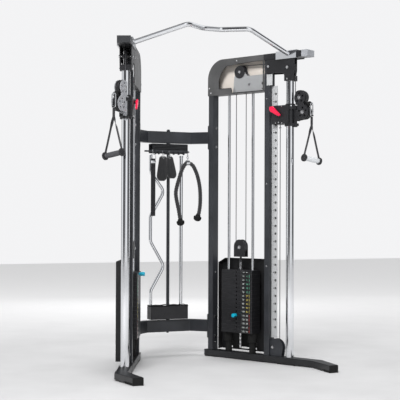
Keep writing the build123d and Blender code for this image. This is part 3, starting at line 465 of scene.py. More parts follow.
def finish_mesh(name, verts, faces, uvs, material, body, sharp=38.0):
    """Makes the object with the material of that key."""
    mesh = bpy.data.meshes.new(name)
    mesh.from_pydata([tuple(v) for v in verts], [], faces)
    mesh.validate(clean_customdata=False)
    bm = bmesh.new()
    bm.from_mesh(mesh)
    bmesh.ops.recalc_face_normals(bm, faces=bm.faces)
    bm.to_mesh(mesh)
    bm.free()
    obj = link_object(name, mesh)
    mesh.materials.append(MATERIALS[material])
    layer = mesh.uv_layers.new(name="UVMap")
    for i, vert in enumerate([loop.vertex_index for loop in mesh.loops]):
        layer.data[i].uv = uvs[vert]
    mesh.polygons.foreach_set("use_smooth", np.ones(len(mesh.polygons), bool))
    mesh.set_sharp_from_angle(angle=radians(sharp))
    mesh.update()
    if body:
        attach(obj, body)
    return obj


def outward(verts, faces):
    """Turns the faces of one closed shell outward."""
    volume = 0.0
    for face in faces:
        first = verts[face[0]]
        for i in range(1, len(face) - 1):
            volume += first.dot(verts[face[i]].cross(verts[face[i + 1]]))
    return [tuple(face)[::-1] for face in faces] if volume < 0 else faces


class Piece:
    """Collects closed shells into one object."""

    def __init__(self):
        self.verts, self.faces, self.uvs = [], [], []

    def add(self, verts, faces, uvs):
        start = len(self.verts)
        centre = sum(verts, Vector()) / len(verts)
        faces = outward([v - centre for v in verts], faces)
        self.verts += verts
        self.faces += [tuple(i + start for i in face) for face in faces]
        self.uvs += uvs

    def turn(self, profile, origin, axis, count):
        """Adds a lathe shell with its profile in mm."""
        self.add(*lathe([(r / 1000, h / 1000) for r, h in profile], origin, axis, count))

    def turn_placed(self, profile, place, count):
        """Turns a profile about local z, then sends each local point through place."""
        verts, faces, uvs = lathe(profile, ORIGIN, UNIT_Z, count)
        self.add([place(v) for v in verts], faces, uvs)

    def build(self, name, material, body, slot=None, sharp=38.0):
        return finish_mesh(name, self.verts, self.faces, self.uvs, material, body, sharp)


def square_to(axis, hint=None):
    """Unit vector square to the axis, nearest the hint."""
    if hint is None:
        hint = UNIT_Z if abs(axis.z) < 0.9 else UNIT_X
    return (hint - axis * hint.dot(axis)).normalized()


def path_frames(points, closed=False, up=None):
    """Parallel-transport frames (x, y, tangent) along a polyline."""
    n = len(points)
    tangents = []
    for i in range(n):
        if closed:
            t = points[(i + 1) % n] - points[i - 1]
        elif i == 0:
            t = points[1] - points[0]
        elif i == n - 1:
            t = points[-1] - points[-2]
        else:
            t = (points[i + 1] - points[i]).normalized() + (points[i] - points[i - 1]).normalized()
        tangents.append(t.normalized())
    x = square_to(tangents[0], up)
    result = []
    for i, t in enumerate(tangents):
        if i:
            x = square_to(t, tangents[i - 1].rotation_difference(t) @ x)
        result.append((x.copy(), t.cross(x).normalized(), t))
    return result


def sweep(points, profile, closed=False, up=None, fixed=None):
    """Shell of a closed profile [(a, b)] swept along points; UV is (across, along).

    up starts the transported frame; fixed holds the profile's first axis throughout.
    """
    k, n = len(profile), len(points)
    across = [0.0]
    for a, b in zip(profile[:-1], profile[1:]):
        across.append(across[-1] + math.hypot(a[0] - b[0], a[1] - b[1]))
    verts, uvs = [], []
    along = 0.0
    for i, (x, y, t) in enumerate(path_frames(points, closed, up)):
        if i:
            along += (points[i] - points[i - 1]).length
        if fixed is not None:
            x = square_to(t, fixed)
            y = t.cross(x)
        for j, (a, b) in enumerate(profile):
            verts.append(points[i] + x * a + y * b)
            uvs.append((across[j], along))
    faces = []
    for i in range(n if closed else n - 1):
        i2 = (i + 1) % n
        for j in range(k):
            j2 = (j + 1) % k
            faces.append((i * k + j2, i2 * k + j2, i2 * k + j, i * k + j))
    if not closed:
        faces.append(tuple(range(k)))
        faces.append(tuple(range((n - 1) * k, n * k))[::-1])
    return verts, faces, uvs


def circle(r, k):
    return [(r * cos(2 * pi * i / k), r * sin(2 * pi * i / k)) for i in range(k)]


def rounded_rect(w, h, r, k):
    """Rounded rectangle profile, width along the first axis, k steps a corner."""
    points = []
    for cx, cy, start in ((w / 2 - r, h / 2 - r, 0), (-w / 2 + r, h / 2 - r, 90),
                          (-w / 2 + r, -h / 2 + r, 180), (w / 2 - r, -h / 2 + r, 270)):
        for i in range(k + 1):
            a = radians(start + 90 * i / k)
            points.append((cx + r * cos(a), cy + r * sin(a)))
    return points


def swapped(profile):
    return [(b, a) for a, b in profile]


def lathe(profile, origin, axis, count):
    """Shell of [(r, h)] turned about the axis; the first and last r are 0."""
    axis = Vector(axis).normalized()
    x = square_to(axis)
    y = axis.cross(x)
    verts, faces, uvs, rings = [], [], [], []
    run = 0.0
    for i, (r, h) in enumerate(profile):
        if i:
            run += math.hypot(r - profile[i - 1][0], h - profile[i - 1][1])
        centre = Vector(origin) + axis * h
        start = len(verts)
        if r < 1e-7:
            verts.append(centre)
            uvs.append((0, run))
        else:
            for t in full_turn(count):
                verts.append(centre + x * r * cos(t) + y * r * sin(t))
                uvs.append((t * r, run))
        rings.append(range(start, len(verts)))
    for low, high in zip(rings[:-1], rings[1:]):
        for j in range(count):
            j2 = (j + 1) % count
            if len(low) == 1:
                faces.append((high[j2], high[j], low[0]))
            elif len(high) == 1:
                faces.append((low[j], low[j2], high[0]))
            else:
                faces.append((low[j], low[j2], high[j2], high[j]))
    return verts, faces, uvs


def full_turn(count):
    return [2 * pi * i / count for i in range(count)]


def tube_faces(rings, k):
    """Faces of a capped stack of rings with k vertices each."""
    faces = []
    for i in range(rings - 1):
        for j in range(k):
            j2 = (j + 1) % k
            faces.append((i * k + j, i * k + j2, (i + 1) * k + j2, (i + 1) * k + j))
    return faces + [tuple(range(k))[::-1], tuple(range((rings - 1) * k, rings * k))]


def rounded_box(centre, axes, size, r, seg):
    """Box with rounded edges: axes are three unit vectors, size in metres."""
    sx, sy, sz = (s / 2 for s in size)
    r = min(r, sx * 0.98, sy * 0.98, sz * 0.98)
    profile = rounded_rect(2 * sx, 2 * sy, r, seg)
    turns = [radians(90 * i / seg) for i in range(1, seg + 1)]
    steps = [(-sz, r)] + [(-sz + r - r * cos(t), r - r * sin(t)) for t in turns]
    steps += [(sz - r + r * cos(t), r - r * sin(t)) for t in turns[::-1]] + [(sz, r)]
    verts, uvs = [], []
    for h, inset in steps:
        for a, b in profile:
            scale_a = (abs(a) - inset) / abs(a) if abs(a) > 1e-9 else 1
            scale_b = (abs(b) - inset) / abs(b) if abs(b) > 1e-9 else 1
            verts.append(centre + axes[0] * a * scale_a + axes[1] * b * scale_b + axes[2] * h)
            uvs.append((a, h))
    return verts, tube_faces(len(steps), len(profile)), uvs


def catmull_rom(points, n):
    """Smooth curve through the points, n samples a span."""
    q = [points[0] * 2 - points[1]] + list(points) + [points[-1] * 2 - points[-2]]
    out = []
    for i in range(1, len(q) - 2):
        a, b, c, d = q[i - 1:i + 3]
        for k in range(n):
            t = k / n
            out.append(0.5 * ((2 * b) + (c - a) * t + (2 * a - 5 * b + 4 * c - d) * t * t
                              + (3 * b - a - 3 * c + d) * t ** 3))
    out.append(points[-1])
    return out


def dedupe(points):
    out = [points[0]]
    for point in points[1:]:
        if (point - out[-1]).length > 1e-5:
            out.append(point)
    return out


def bolt_head(piece, place, axis, r, h):
    """Button head with a round socket."""
    profile = [(0, 0), (r, 0.0), (r * 0.99, h * 0.35), (r * 0.86, h * 0.78), (r * 0.62, h),
               (r * 0.42, h), (r * 0.40, h * 0.35), (0, h * 0.30)]
    piece.add(*lathe(profile, place, axis, 18))


def hex_nut(piece, place, axis, r, h, stud=0.0052):
    """Hexagon nut with a washer under it and the bolt end showing."""
    washer = [(0, 0), (r * 1.14, 0), (r * 1.14, 0.0012), (0, 0.0012)]
    nut = [(0, 0.0012), (r * 0.93, 0.0012), (r, 0.0019), (r, h - 0.0006), (r * 0.90, h), (0, h)]
    end = [(0, h * 0.5), (stud, h * 0.5), (stud, h + 0.0014), (stud * 0.8, h + 0.0022),
           (0, h + 0.0022)]
    for profile, count in ((washer, 24), (nut, 6), (end, 18)):
        piece.add(*lathe(profile, place, axis, count))


# ---------------------------------------------------------------- cables
CABLE_R = 0.0025
# Pulley centres (u, z) and the radii their cable runs at, mm
HOOD_PULLEY, REAR_PULLEY, FRONT_PULLEY = (237, 1893), (319, 1805), (428.5, 1805)
TOP_PULLEY, LOW_PULLEY, TRAVELLING_PULLEY = (637, 1888), (512, 102), (237, 735)
RUN_R, TOP_R, LOW_R = 41, 36, 42.5      # RUN_R: hood, transfer and travelling pulleys
# Arm pulleys (x, z)
SWIVEL_UPPER, SWIVEL_LOWER, SWIVEL_R = (43.0, 1692.0), (67.0, 1598.0), 43
LIMB_Z = SWIVEL_UPPER[1] - SWIVEL_R     # cable leaving along the arm

# Angle where the cable leaves the hood pulley for the smaller top pulley, degrees
top_du, top_dz = (TOP_PULLEY[i] - HOOD_PULLEY[i] for i in (0, 1))
TANGENT = (math.degrees(math.atan2(top_dz, top_du))
           + math.degrees(pi / 2 - math.asin((RUN_R - TOP_R) / math.hypot(top_du, top_dz))))


def arc(place, centre, r, start, end, n):
    """Arc about centre, in degrees, with each (across, z) sent through place."""
    angles = [radians(start + (end - start) * i / n) for i in range(n + 1)]
    return [place(centre[0] + r * cos(a), centre[1] + r * sin(a)) for a in angles]


def straight(a, b, step=0.012):
    n = max(2, int((b - a).length / step))
    return [a.lerp(b, i / n) for i in range(n + 1)]


def cable(name, points, body):
    verts, faces, uvs = sweep(dedupe(points), circle(CABLE_R, 12))
    return finish_mesh(name, verts, outward(verts, faces), uvs, "cable_jacket", body, sharp=60)


def cable_leg(name, side, u, ends):
    """Upright cable between two heights, stretching between two bodies."""
    obj = cable(f"cable_{name}_{side}", straight(*(tower(side, u, 0, z) for z in ends)), None)
    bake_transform(obj)


def cables(side):
    """All cable of one tower; returns the run over the transfer pulleys."""
    stack, carriage = f"stack_{side}", f"carriage_{side}"
    low_z, run_z, travel_z, hood_z = (
        p[1] for p in (LOW_PULLEY, REAR_PULLEY, TRAVELLING_PULLEY, HOOD_PULLEY))

    def plane(u, z):
        return tower(side, u, 0, z)

    # behind the column: from the carriage down to the low pulley
    cable_leg("carriage_leg", side, LOW_PULLEY[0] + LOW_R, (1529, low_z))
    # round the low pulley, up to the transfer pair, over it
    rise_u = LOW_PULLEY[0] - LOW_R
    points = arc(plane, LOW_PULLEY, LOW_R, 0, -180, 28)
    points += straight(plane(rise_u, low_z), plane(rise_u, run_z), 0.05)
    points += arc(plane, FRONT_PULLEY, RUN_R, 0, 90, 12)
    points += arc(plane, REAR_PULLEY, RUN_R, 90, 180, 12)
    run = cable(f"cable_run_{side}", points, "root")
    # down to the stack and up again
    cable_leg("stack_leg_front", side, REAR_PULLEY[0] - RUN_R, (run_z, travel_z))
    cable(f"cable_stack_turn_{side}", arc(plane, TRAVELLING_PULLEY, RUN_R, 0, -180, 28), stack)
    cable_leg("stack_leg_rear", side, HOOD_PULLEY[0] - RUN_R, (travel_z, hood_z))
    # over the hood pulley to the top pulley and down to the pulley arm
    points = arc(plane, HOOD_PULLEY, RUN_R, 180, TANGENT, 16)
    points += arc(plane, TOP_PULLEY, TOP_R, TANGENT, 0, 16)
    cable(f"cable_top_{side}", points, "root")
    swivel_z = SWIVEL_UPPER[1]
    cable_leg("fall", side, SWIVEL_U, (TOP_PULLEY[1], swivel_z + 4))
    points = [arm(side, 0, swivel_z + 3.9)]
    points += arc(lambda x, z: arm(side, x, z), SWIVEL_UPPER, SWIVEL_R, 180, 270, 16)
    points += [arm(side, 90, LIMB_Z)]
    cable(f"cable_arm_{side}", points, f"swivel_{side}")
    return run


cable_runs = [cables(side) for side in SIDES]
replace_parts(cable_runs[0], "cables")

# ---------------------------------------------------------------- handles
HANG_X, GRIP_Z, GRIP_HALF = 124.0, 1298.0, 65.0     # on the arm, mm
GRIP_POSE = {"right": (8.0, 12.6), "left": (8.5, -8.0)}     # tilt, yaw in degrees
GRIP_FINISH = {"right": ("grip_silver", "silver_steel"), "left": ("grip_dark", "rubber")}
# Snap hook loop (inward, z), mm
HOOK_LOOP = [(0, 1655), (7, 1653), (11.5, 1647), (12.8, 1636), (12.6, 1606), (12, 1582),
             (8, 1573), (0, 1570), (-8, 1573), (-12, 1582), (-12.6, 1600), (-12.8, 1630),
             (-11, 1646), (-6, 1653)]
# Turned profiles (radius, height), mm
CRIMP = [(0, 0), (4.2, 0), (4.4, 0.6), (4.4, 7), (3.6, 8), (0, 8)]
HOOK_GATE = [(0, 0), (2.2, 0), (4.6, 1.5), (4.6, 7), (4.2, 8), (4.2, 30), (4.6, 31),
             (4.6, 34), (2.2, 36), (0, 36)]
GRIP_END = [(0, 0), (22, 0), (23.6, 1.5), (23.9, 4), (23.9, 9), (23, 12), (20, 13.8),
            (12, 14.2), (9, 13.2), (8, 12.6), (0, 12.6)]


def grip_axis(side):
    """Unit vector along the grip."""
    tilt, yaw = (radians(a) for a in GRIP_POSE[side])
    along, inward = arm_dir(side, 1, 0), arm_dir(side, 0, 1)
    return (-inward * cos(yaw) * cos(tilt) + along * sin(yaw) * cos(tilt)
            - Vector((0, 0, sin(tilt)))).normalized()


def stop_ball(side, body):
    """Ball on the cable with a seam ring round its middle."""
    def on_ball(angles):
        return [(16.4 * cos(radians(a)), 16.4 * sin(radians(a))) for a in angles]

    profile = [(0, -16.3)] + on_ball(range(-78, -4, 8)) + [(16.0, -0.8), (15.7, 0.0), (16.0, 0.8)]
    profile += on_ball(range(6, 84, 8)) + [(0, 16.3)]
    piece = Piece()
    piece.turn(profile, arm(side, 107, LIMB_Z), arm_dir(side, 1, 0), 40)
    piece.build(f"stop_ball_{side}", "rubber", body)


def snap_hook(side, body):
    """Crimp sleeve, eye ring on the cable end, and the hook with its gate."""
    along, inward = arm_dir(side, 1, 0), arm_dir(side, 0, 1)
    piece = Piece()
    sleeve = arm(side, 120, LIMB_Z)
    piece.turn_placed(CRIMP, lambda q: sleeve + along * (q.z / 1000) + inward * (q.x / 1000)
                      + Vector((0, 0, q.y / 1000)), 20)
    ring = [arm(side, HANG_X, LIMB_Z) + along * (0.007 * cos(t))
            + Vector((0, 0, -0.001 + 0.008 * sin(t))) for t in full_turn(28)]
    piece.add(*sweep(ring, circle(0.0021, 10), closed=True))
    loop = [arm(side, HANG_X, z, a) for a, z in HOOK_LOOP + HOOK_LOOP[:1]]
    piece.add(*sweep(catmull_rom(loop, 4)[:-1], circle(0.0034, 12), closed=True, fixed=along))
    gate = arm(side, HANG_X, 1593, -12.7)
    piece.turn_placed(HOOK_GATE, lambda q: gate + q / 1000, 20)
    piece.build(f"snap_hook_{side}", "chrome", body, slot="bolt_steel")


def webbing_leg(points, profile, flat, normal, sign):
    """Strip that lies along flat at the top and turns to lie along normal below."""
    verts, uvs = [], []
    run = 0.0
    n = len(points)
    for i, point in enumerate(points):
        if i:
            run += (point - points[i - 1]).length
        tangent = (points[min(i + 1, n - 1)] - points[max(i - 1, 0)]).normalized()
        turn = min(1.0, max(0.0, (1.516 - point.z) / 0.070))
        turn = turn * turn * (3 - 2 * turn)
        width = square_to(tangent, flat * cos(turn * pi / 2) + normal * sin(turn * pi / 2) * sign)
        thick = tangent.cross(width)
        for a, b in profile:
            verts.append(point + width * a + thick * b)
            uvs.append((a, run))
    return verts, tube_faces(n, len(profile)), uvs


def handle_webbing(side, body, grip, axis, flat, normal):
    """Folded eye, doubled band, and two legs to loops round the grip ends."""
    strip = dict(h=0.0026, r=0.0011, k=3)
    piece = Piece()
    for sign in (1, -1):
        band = [Vector((grip.x, grip.y, z / 1000))
                + normal * (sign * (0.0017 + 0.0009 * max(0, 1 - (1572 - z) / 14)))
                for z in range(1516, 1567, 5)]
        end = grip + axis * (sign * GRIP_HALF / 1000)
        start, foot = band[0], end + Vector((0, 0, 0.0125))
        leg = catmull_rom([start, start.lerp(foot, 0.10) + axis * sign * 0.0008,
                           start.lerp(foot, 0.35) + axis * sign * 0.0010,
                           start.lerp(foot, 0.7), foot], 7)
        piece.add(*webbing_leg(dedupe(band[::-1] + leg[1:]), rounded_rect(0.0165, **strip),
                               flat, normal, sign))
        loop = [end - axis * sign * 0.002
                + (UNIT_Z * cos(t) + axis.cross(UNIT_Z) * sin(t)) * 0.0135
                for t in full_turn(28)]
        piece.add(*sweep(loop, swapped(rounded_rect(0.020, **strip))[::-1], closed=True,
                         up=UNIT_Z))
    top = Vector((grip.x, grip.y, 1.572))
    eye = [top + normal * (0.0055 * cos(t)) + Vector((0, 0, 0.0015 + 0.0055 * sin(t)))
           for t in [radians(a) for a in range(-50, 231, 20)]]
    piece.add(*sweep(eye, swapped(rounded_rect(0.0205, **strip))[::-1], up=normal))
    return piece.build(f"handle_webbing_{side}", "webbing", body, sharp=50)


def handle_stitching(side, body, grip, flat, normal):
    """Rows of short stitches on both faces of the band."""
    piece = Piece()
    for z in (1523, 1529, 1535, 1548, 1554):
        for sign in (1, -1):
            for i in range(-3, 4):
                a = (Vector((grip.x, grip.y, z / 1000)) + flat * (i * 0.0021 - 0.0006)
                     + normal * sign * 0.0031)
                b = a + flat * 0.0013
                crest = a.lerp(b, 0.5) + normal * sign * 0.0003
                piece.add(*sweep([a, crest, b], circle(0.00035, 6)))
    piece.build(f"handle_stitching_{side}", "grip_dark", body, slot="webbing")


def grip_tube(side, body, grip, axis):
    """Ribbed tube, slightly fuller at its middle."""
    half, ribs = GRIP_HALF - 6, 26
    profile = [(0, -half), (13, -half), (15.2, -half + 1)]
    for i in range(ribs):
        h = -half + 3 + (2 * half - 6) * i / (ribs - 1)
        bulge = 0.9 * cos(pi * (i / (ribs - 1) - 0.5))
        profile += [(15.0 + bulge, h - 1.2), (15.7 + bulge, h - 0.5),
                    (15.7 + bulge, h + 0.5), (15.0 + bulge, h + 1.2)]
    profile += [(15.2, half - 1), (13, half), (0, half)]
    piece = Piece()
    piece.turn(profile, grip, axis, 40)
    material, slot = GRIP_FINISH[side]
    piece.build(f"grip_tube_{side}", material, body, slot=slot)


def grip_ends(side, body, grip, axis):
    piece = Piece()
    for sign in (1, -1):
        end = grip + axis * (sign * (GRIP_HALF - 6.5) / 1000)
        piece.turn(GRIP_END, end, axis * sign, 40)
    piece.build(f"grip_ends_{side}", "black_plastic", body)


for side in SIDES:
    body = f"handle_{side}"
    grip, axis = arm(side, HANG_X, GRIP_Z), grip_axis(side)
    flat = Vector((axis.x, axis.y, 0)).normalized()
    normal = UNIT_Z.cross(flat)
    stop_ball(side, body)
    snap_hook(side, body)
    web = handle_webbing(side, body, grip, axis, flat, normal)
    handle_stitching(side, body, grip, flat, normal)
    grip_tube(side, body, grip, axis)
    grip_ends(side, body, grip, axis)
    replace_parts(web, f"handle_{side}")

# ---------------------------------------------------------------- accessory rack
RACK_X, RACK_Y = CENTRE_X / 1000, (TOWER_Y + 120) / 1000
ROPE_Y = -44
# Rope centre line (x, z), mm
ROPE_LINE = [(72, 906), (67, 939), (57, 991), (44.5, 1044), (38, 1094), (46, 1141), (61, 1190),
             (76, 1237), (97, 1279), (122, 1299), (160, 1284), (188, 1235), (204, 1186),
             (214, 1134), (218, 1081), (217, 1021), (210, 970), (200, 936)]
# Turned profiles (radius, height), mm
ROPE_END = [(0, -15), (14, -15), (16.5, -13), (17, -8), (17.5, -4), (24, -2), (26.6, 2),
            (27, 8), (25.5, 17), (21, 24), (13, 29), (5, 31), (0, 31)]
ROPE_COLLAR = [(0, -13), (16.2, -13), (17.6, -11.5), (17.6, 11.5), (16.2, 13), (0, 13)]
# Strap place (x, y), the strap's top and its length, mm
STRAP_X, STRAP_Y, STRAP_TOP, STRAP_DROP = -133.0, -61.0, 1322, 376
# Buckle outline (x, z), mm
BUCKLE = [(-17, 1322), (-17, 1336), (-12, 1348), (0, 1352), (12, 1348), (17, 1336),
          (17, 1322), (10, 1318), (-10, 1318), (-17, 1322)]
CUFF_Y, CUFF_TOP = -67.5, 1336
# Cuffs: name, x at foot and top, half width at foot and top, foot z, side of the fold
CUFFS = (("ankle_cuff_a", (-74, -65), (36.5, 24.5), 1176, 1),
         ("ankle_cuff_b", (0, -17), (34, 20), 1194, -1))


def rack(x, y, z):
    """Point on the rack, mm in, along the world axes."""
    return Vector((RACK_X + x / 1000, RACK_Y + y / 1000, z / 1000))


def rope_strands(line):
    """Three strands twisted round the centre line."""
    run = [0.0]
    for a, b in zip(line[:-1], line[1:]):
        run.append(run[-1] + (b - a).length)
    frames = path_frames(line, up=UNIT_Y)
    pitch, offset, strand_r = 0.052, 0.0073, 0.0067
    piece = Piece()
    for k in range(3):
        strand = []
        for i, point in enumerate(line):
            a = 2 * pi * (run[i] / pitch) + 2 * pi * k / 3
            strand.append(point + (frames[i][0] * cos(a) + frames[i][1] * sin(a)) * offset)
        piece.add(*sweep(strand, circle(strand_r, 12)))
    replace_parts(piece.build("rope_strands", "rope", "rack", sharp=70), "triceps_rope")


def rope_ends(line):
    piece = Piece()
    for end, neighbour in ((line[0], line[1]), (line[-1], line[-2])):
        piece.turn(ROPE_END, end, (end - neighbour).normalized(), 36)
    piece.build("rope_ends", "rubber", "rack")


def rod_hook(piece, x, y, z):
    """Open hook from a ring at (y, z) up over the front of the rod."""
    line = [(y, z - 3), (y - 3.5, z), (y - 2.5, z + 5), ((y - 54) / 2, (z + 1366) / 2),
            (-53.5, 1366), (-53.2, 1374), (-49.5, 1379.5), (-44, 1381), (-41.5, 1380)]
    points = catmull_rom([rack(x, a, b) for a, b in line], 4)
    piece.add(*sweep(points, circle(0.0018, 8), up=UNIT_X))


def rope_chain():
    """Collar on the rope crown, three chain links and the rod hook."""
    x = 123
    piece = Piece()
    piece.turn(ROPE_COLLAR, rack(x, ROPE_Y, 1299), UNIT_X, 30)
    for i, z in enumerate((1322, 1335, 1348)):
        link = []
        for t in full_turn(24):
            a, b = 0.0062 * cos(t), 0.0092 * sin(t)
            link.append(rack(x, ROPE_Y, z) + Vector((a, 0, b) if i % 2 else (0, a, b)))
        piece.add(*sweep(link, circle(0.0019, 8), closed=True))
    rod_hook(piece, x, -44.5, 1353)
    piece.build("rope_chain", "chrome", "rack")


def long_strap():
    """Doubled webbing: down the front, round the bottom, up the back."""
    bottom = STRAP_TOP - STRAP_DROP
    path = [rack(STRAP_X, STRAP_Y - 1.9 - sin(i / 16 * pi * 3) * 0.3,
                 STRAP_TOP - STRAP_DROP * i / 40) for i in range(41)]
    path += [rack(STRAP_X, STRAP_Y - 1.5 + 1.6 * (1 - cos(t)), bottom - 1 - 4 * sin(t))
             for t in [pi * i / 8 for i in range(1, 9)]]
    path += [rack(STRAP_X, STRAP_Y + 1.7, bottom + STRAP_DROP * i / 40) for i in range(1, 41)]
    piece = Piece()
    piece.add(*sweep(dedupe(path), rounded_rect(0.031, 0.0024, 0.001, 3), fixed=UNIT_X))
    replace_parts(piece.build("long_strap_webbing", "webbing", "rack", sharp=50), "long_strap")


def long_strap_buckle():
    piece = Piece()
    ring = catmull_rom([rack(STRAP_X + a, STRAP_Y, z) for a, z in BUCKLE], 4)[:-1]
    piece.add(*sweep(ring, circle(0.0024, 10), closed=True))
    rod_hook(piece, STRAP_X, STRAP_Y, 1352)
    piece.add(*rounded_box(rack(STRAP_X, STRAP_Y, 1300), (UNIT_X, UNIT_Y, UNIT_Z),
                           (0.036, 0.0085, 0.018), 0.002, 3))
    piece.build("long_strap_buckle", "chrome", "rack")


def ankle_cuff(name, centres, widths, foot_z, fold_side):
    """Padded shell that narrows to its top, with piping along its edge."""
    y_mid = (RACK_Y * 1000 + CUFF_Y) / 1000
    rows, count = 48, 56
    height = CUFF_TOP - foot_z
    heights = [0.5 - 0.5 * cos(pi * i / rows) for i in range(rows + 1)]

    def half_width(t):
        k = min(1.0, max(0.0, (t - 0.20) / 0.80))
        half = widths[0] + (widths[1] - widths[0]) * k ** 1.15
        if t < 0.24:
            half *= math.sqrt(max(0.0, 1 - 0.80 * ((0.24 - t) / 0.24) ** 2.4))
        if t > 0.93:
            half *= math.sqrt(max(0.0, 1 - 0.55 * ((t - 0.93) / 0.07) ** 2))
        return half

    def middle(t):
        return centres[0] + (centres[1] - centres[0]) * t

    def signed_power(value, power):
        return abs(value) ** power * (1 if value >= 0 else -1)

    verts, uvs = [], []
    for t in heights:
        z = foot_z + height * t
        end = max(0.16, min(1.0, sin(pi * t) ** 0.36))
        quilt = 1 - 0.035 * (0.5 + 0.5 * cos(2 * pi * 6.0 * t))
        for a in full_turn(count):
            across = signed_power(cos(a), 0.80)
            # The face sinks at an inner seam line and at a fold near its middle.
            seam = 1 - 0.20 * math.exp(-((abs(across) - 0.74) / 0.045) ** 2)
            fold = 1 - (0.26 * math.exp(-((across - 0.10 * fold_side) / 0.10) ** 2)
                        * sin(pi * t) ** 0.5)
            y = 8.0 * end * signed_power(sin(a), 0.62) * seam * fold * quilt
            verts.append(Vector((RACK_X + (middle(t) + half_width(t) * across) / 1000,
                                 y_mid + y / 1000, z / 1000)))
            uvs.append((a * widths[0] / 1000, t * height / 1000))
    shell = Piece()
    shell.add(verts, tube_faces(rows + 1, count), uvs)
    cuff = shell.build(name, "neoprene", "rack", sharp=60)

    edge = []
    for sign, run in ((1, heights), (-1, heights[::-1])):
        for t in run:
            edge.append(Vector((RACK_X + (middle(t) + sign * (half_width(t) - 0.6)) / 1000,
                                y_mid, (foot_z + height * t) / 1000)))
    piping = Piece()
    piping.add(*sweep(dedupe(edge), circle(0.0026, 8), closed=True))
    piping.build(name + "_piping", "piping", "rack", slot="webbing", sharp=60)
    return cuff


def ankle_cuff_rings():
    piece = Piece()
    for _, (_, x), _, _, _ in CUFFS:
        ring = [rack(x + 9.5 * cos(t), CUFF_Y + 3 * sin(t), CUFF_TOP + 1 + 11 * sin(t))
                for t in full_turn(28)]
        piece.add(*sweep(ring, circle(0.0019, 8), closed=True))
        rod_hook(piece, x, -66.5, 1347)
    piece.build("ankle_cuff_rings", "chrome", "rack")


rope_line = dedupe(catmull_rom([rack(x, ROPE_Y, z) for x, z in ROPE_LINE], 14))
rope_strands(rope_line)
rope_ends(rope_line)
rope_chain()
long_strap()
long_strap_buckle()
cuffs = [ankle_cuff(*row) for row in CUFFS]
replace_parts(cuffs[0], "ankle_cuffs")
ankle_cuff_rings()

# Moulded cap over the hood pulley (radius, height), mm
PULLEY_CAP = [(0, 0), (41.5, 0), (42.5, 0.8), (42.5, 3.0), (41.7, 3.8), (38.5, 3.8),
              (37.5, 2.6), (24, 2.2), (22.5, 3.6), (14.5, 3.6), (13.8, 2.6), (11.8, 2.4),
              (0, 2.4)]
CAP_STUD = [(0, 0), (3.2, 0), (3.2, 1.0), (2.4, 1.6), (0, 1.6)]


def hood_pulley_cap(side):
    """Cap on the inner side plate, with six small studs in a ring."""
    u, z = HOOD_PULLEY
    piece = Piece()
    piece.turn_placed(PULLEY_CAP, lambda q: tower(side, u + q.x, 17.9 + q.z, z + q.y), 48)
    for i in range(6):
        a = 2 * pi * i / 6 + 0.3
        piece.turn_placed(CAP_STUD, lambda q: tower(side, u + q.x + 31 * cos(a), 20.0 + q.z,
                                                    z + q.y + 31 * sin(a)), 16)
    piece.build(f"hood_pulley_cap_{side}", "black_plastic", "root", sharp=35)


def head_channel_ribs():
    """Rubber strips on the front face of the head channel."""
    piece = Piece()
    for z in (1419, 1409, 1399, 1389):
        piece.add(*rounded_box(rack(0, -39.0, z), (UNIT_X, UNIT_Y, UNIT_Z),
                               (0.250, 0.0030, 0.0055), 0.0013, 3))
    piece.build("head_channel_ribs", "rubber", "rack", sharp=40)


def tray_lining():
    """Slightly wavy bead round the rectangle of the tray."""
    half_x, half_y, top, count = 0.1322, 0.0382, 0.338, 96
    path = []
    for i in range(count):
        d = i / count * (2 * (2 * half_x + 2 * half_y))
        if d < 2 * half_x:
            x, y = -half_x + d, -half_y
        elif d < 2 * half_x + 2 * half_y:
            x, y = half_x, -half_y + d - 2 * half_x
        elif d < 4 * half_x + 2 * half_y:
            x, y = half_x - (d - 2 * half_x - 2 * half_y), half_y
        else:
            x, y = -half_x, half_y - (d - 4 * half_x - 2 * half_y)
        wave = 0.0012 * sin(d * 95) + 0.0008 * sin(d * 41 + 1)
        path.append(Vector((RACK_X + x, RACK_Y + y, top + wave)))
    piece = Piece()
    piece.add(*sweep(path, rounded_rect(0.007, 0.007, 0.003, 4), closed=True, fixed=UNIT_Z))
    piece.build("tray_lining", "foam", "rack", slot="rubber")


for side in SIDES:
    hood_pulley_cap(side)
head_channel_ribs()
tray_lining()

# ---------------------------------------------------------------- right hood window
# Outlines (u, z), mm
LINER = [(26, 1756), (26, 1888), (58, 1934), (128, 1972), (444, 1976), (444, 1756)]
WINDOW = [(73, 1792), (73, 1852), (98, 1904), (133, 1938), (250, 1947), (440, 1951),
          (440, 1757), (186, 1757), (180, 1790)]


def hood_liner():
    """Pale flat sheet on the outer side of the right hood."""
    n = len(LINER)
    verts = [tower("right", u, w, z) for w in (-30.0, -28.4) for u, z in LINER]
    uvs = [(u / 1000, z / 1000) for u, z in LINER] * 2
    faces = [(n + j, n + (j + 1) % n, (j + 1) % n, j) for j in range(n)]
    faces += [tuple(range(n)), tuple(range(n, 2 * n))[::-1]]
    finish_mesh("hood_liner_right", verts, faces, uvs, "liner", "root",
                sharp=20)


def hood_window_trim():
    """Thin bead round the window, its corners cut 7 mm back and rounded."""
    loop = []
    corners = [Vector((u, z, 0)) for u, z in WINDOW]
    for i, corner in enumerate(corners):
        back = (corners[i - 1] - corner).normalized()
        ahead = (corners[(i + 1) % len(corners)] - corner).normalized()
        for t in (0.0, 0.25, 0.5, 0.75, 1.0):
            q = ((corner + back * 7) * (1 - t) ** 2 + corner * 2 * t * (1 - t)
                 + (corner + ahead * 7) * t * t)
            loop.append(tower("right", q.x, 33.1, q.y))
    piece = Piece()
    piece.add(*sweep(dedupe(loop), circle(0.0016, 8), closed=True))
    piece.build("hood_window_trim_right", "rubber", "root", sharp=60)


hood_liner()
hood_window_trim()

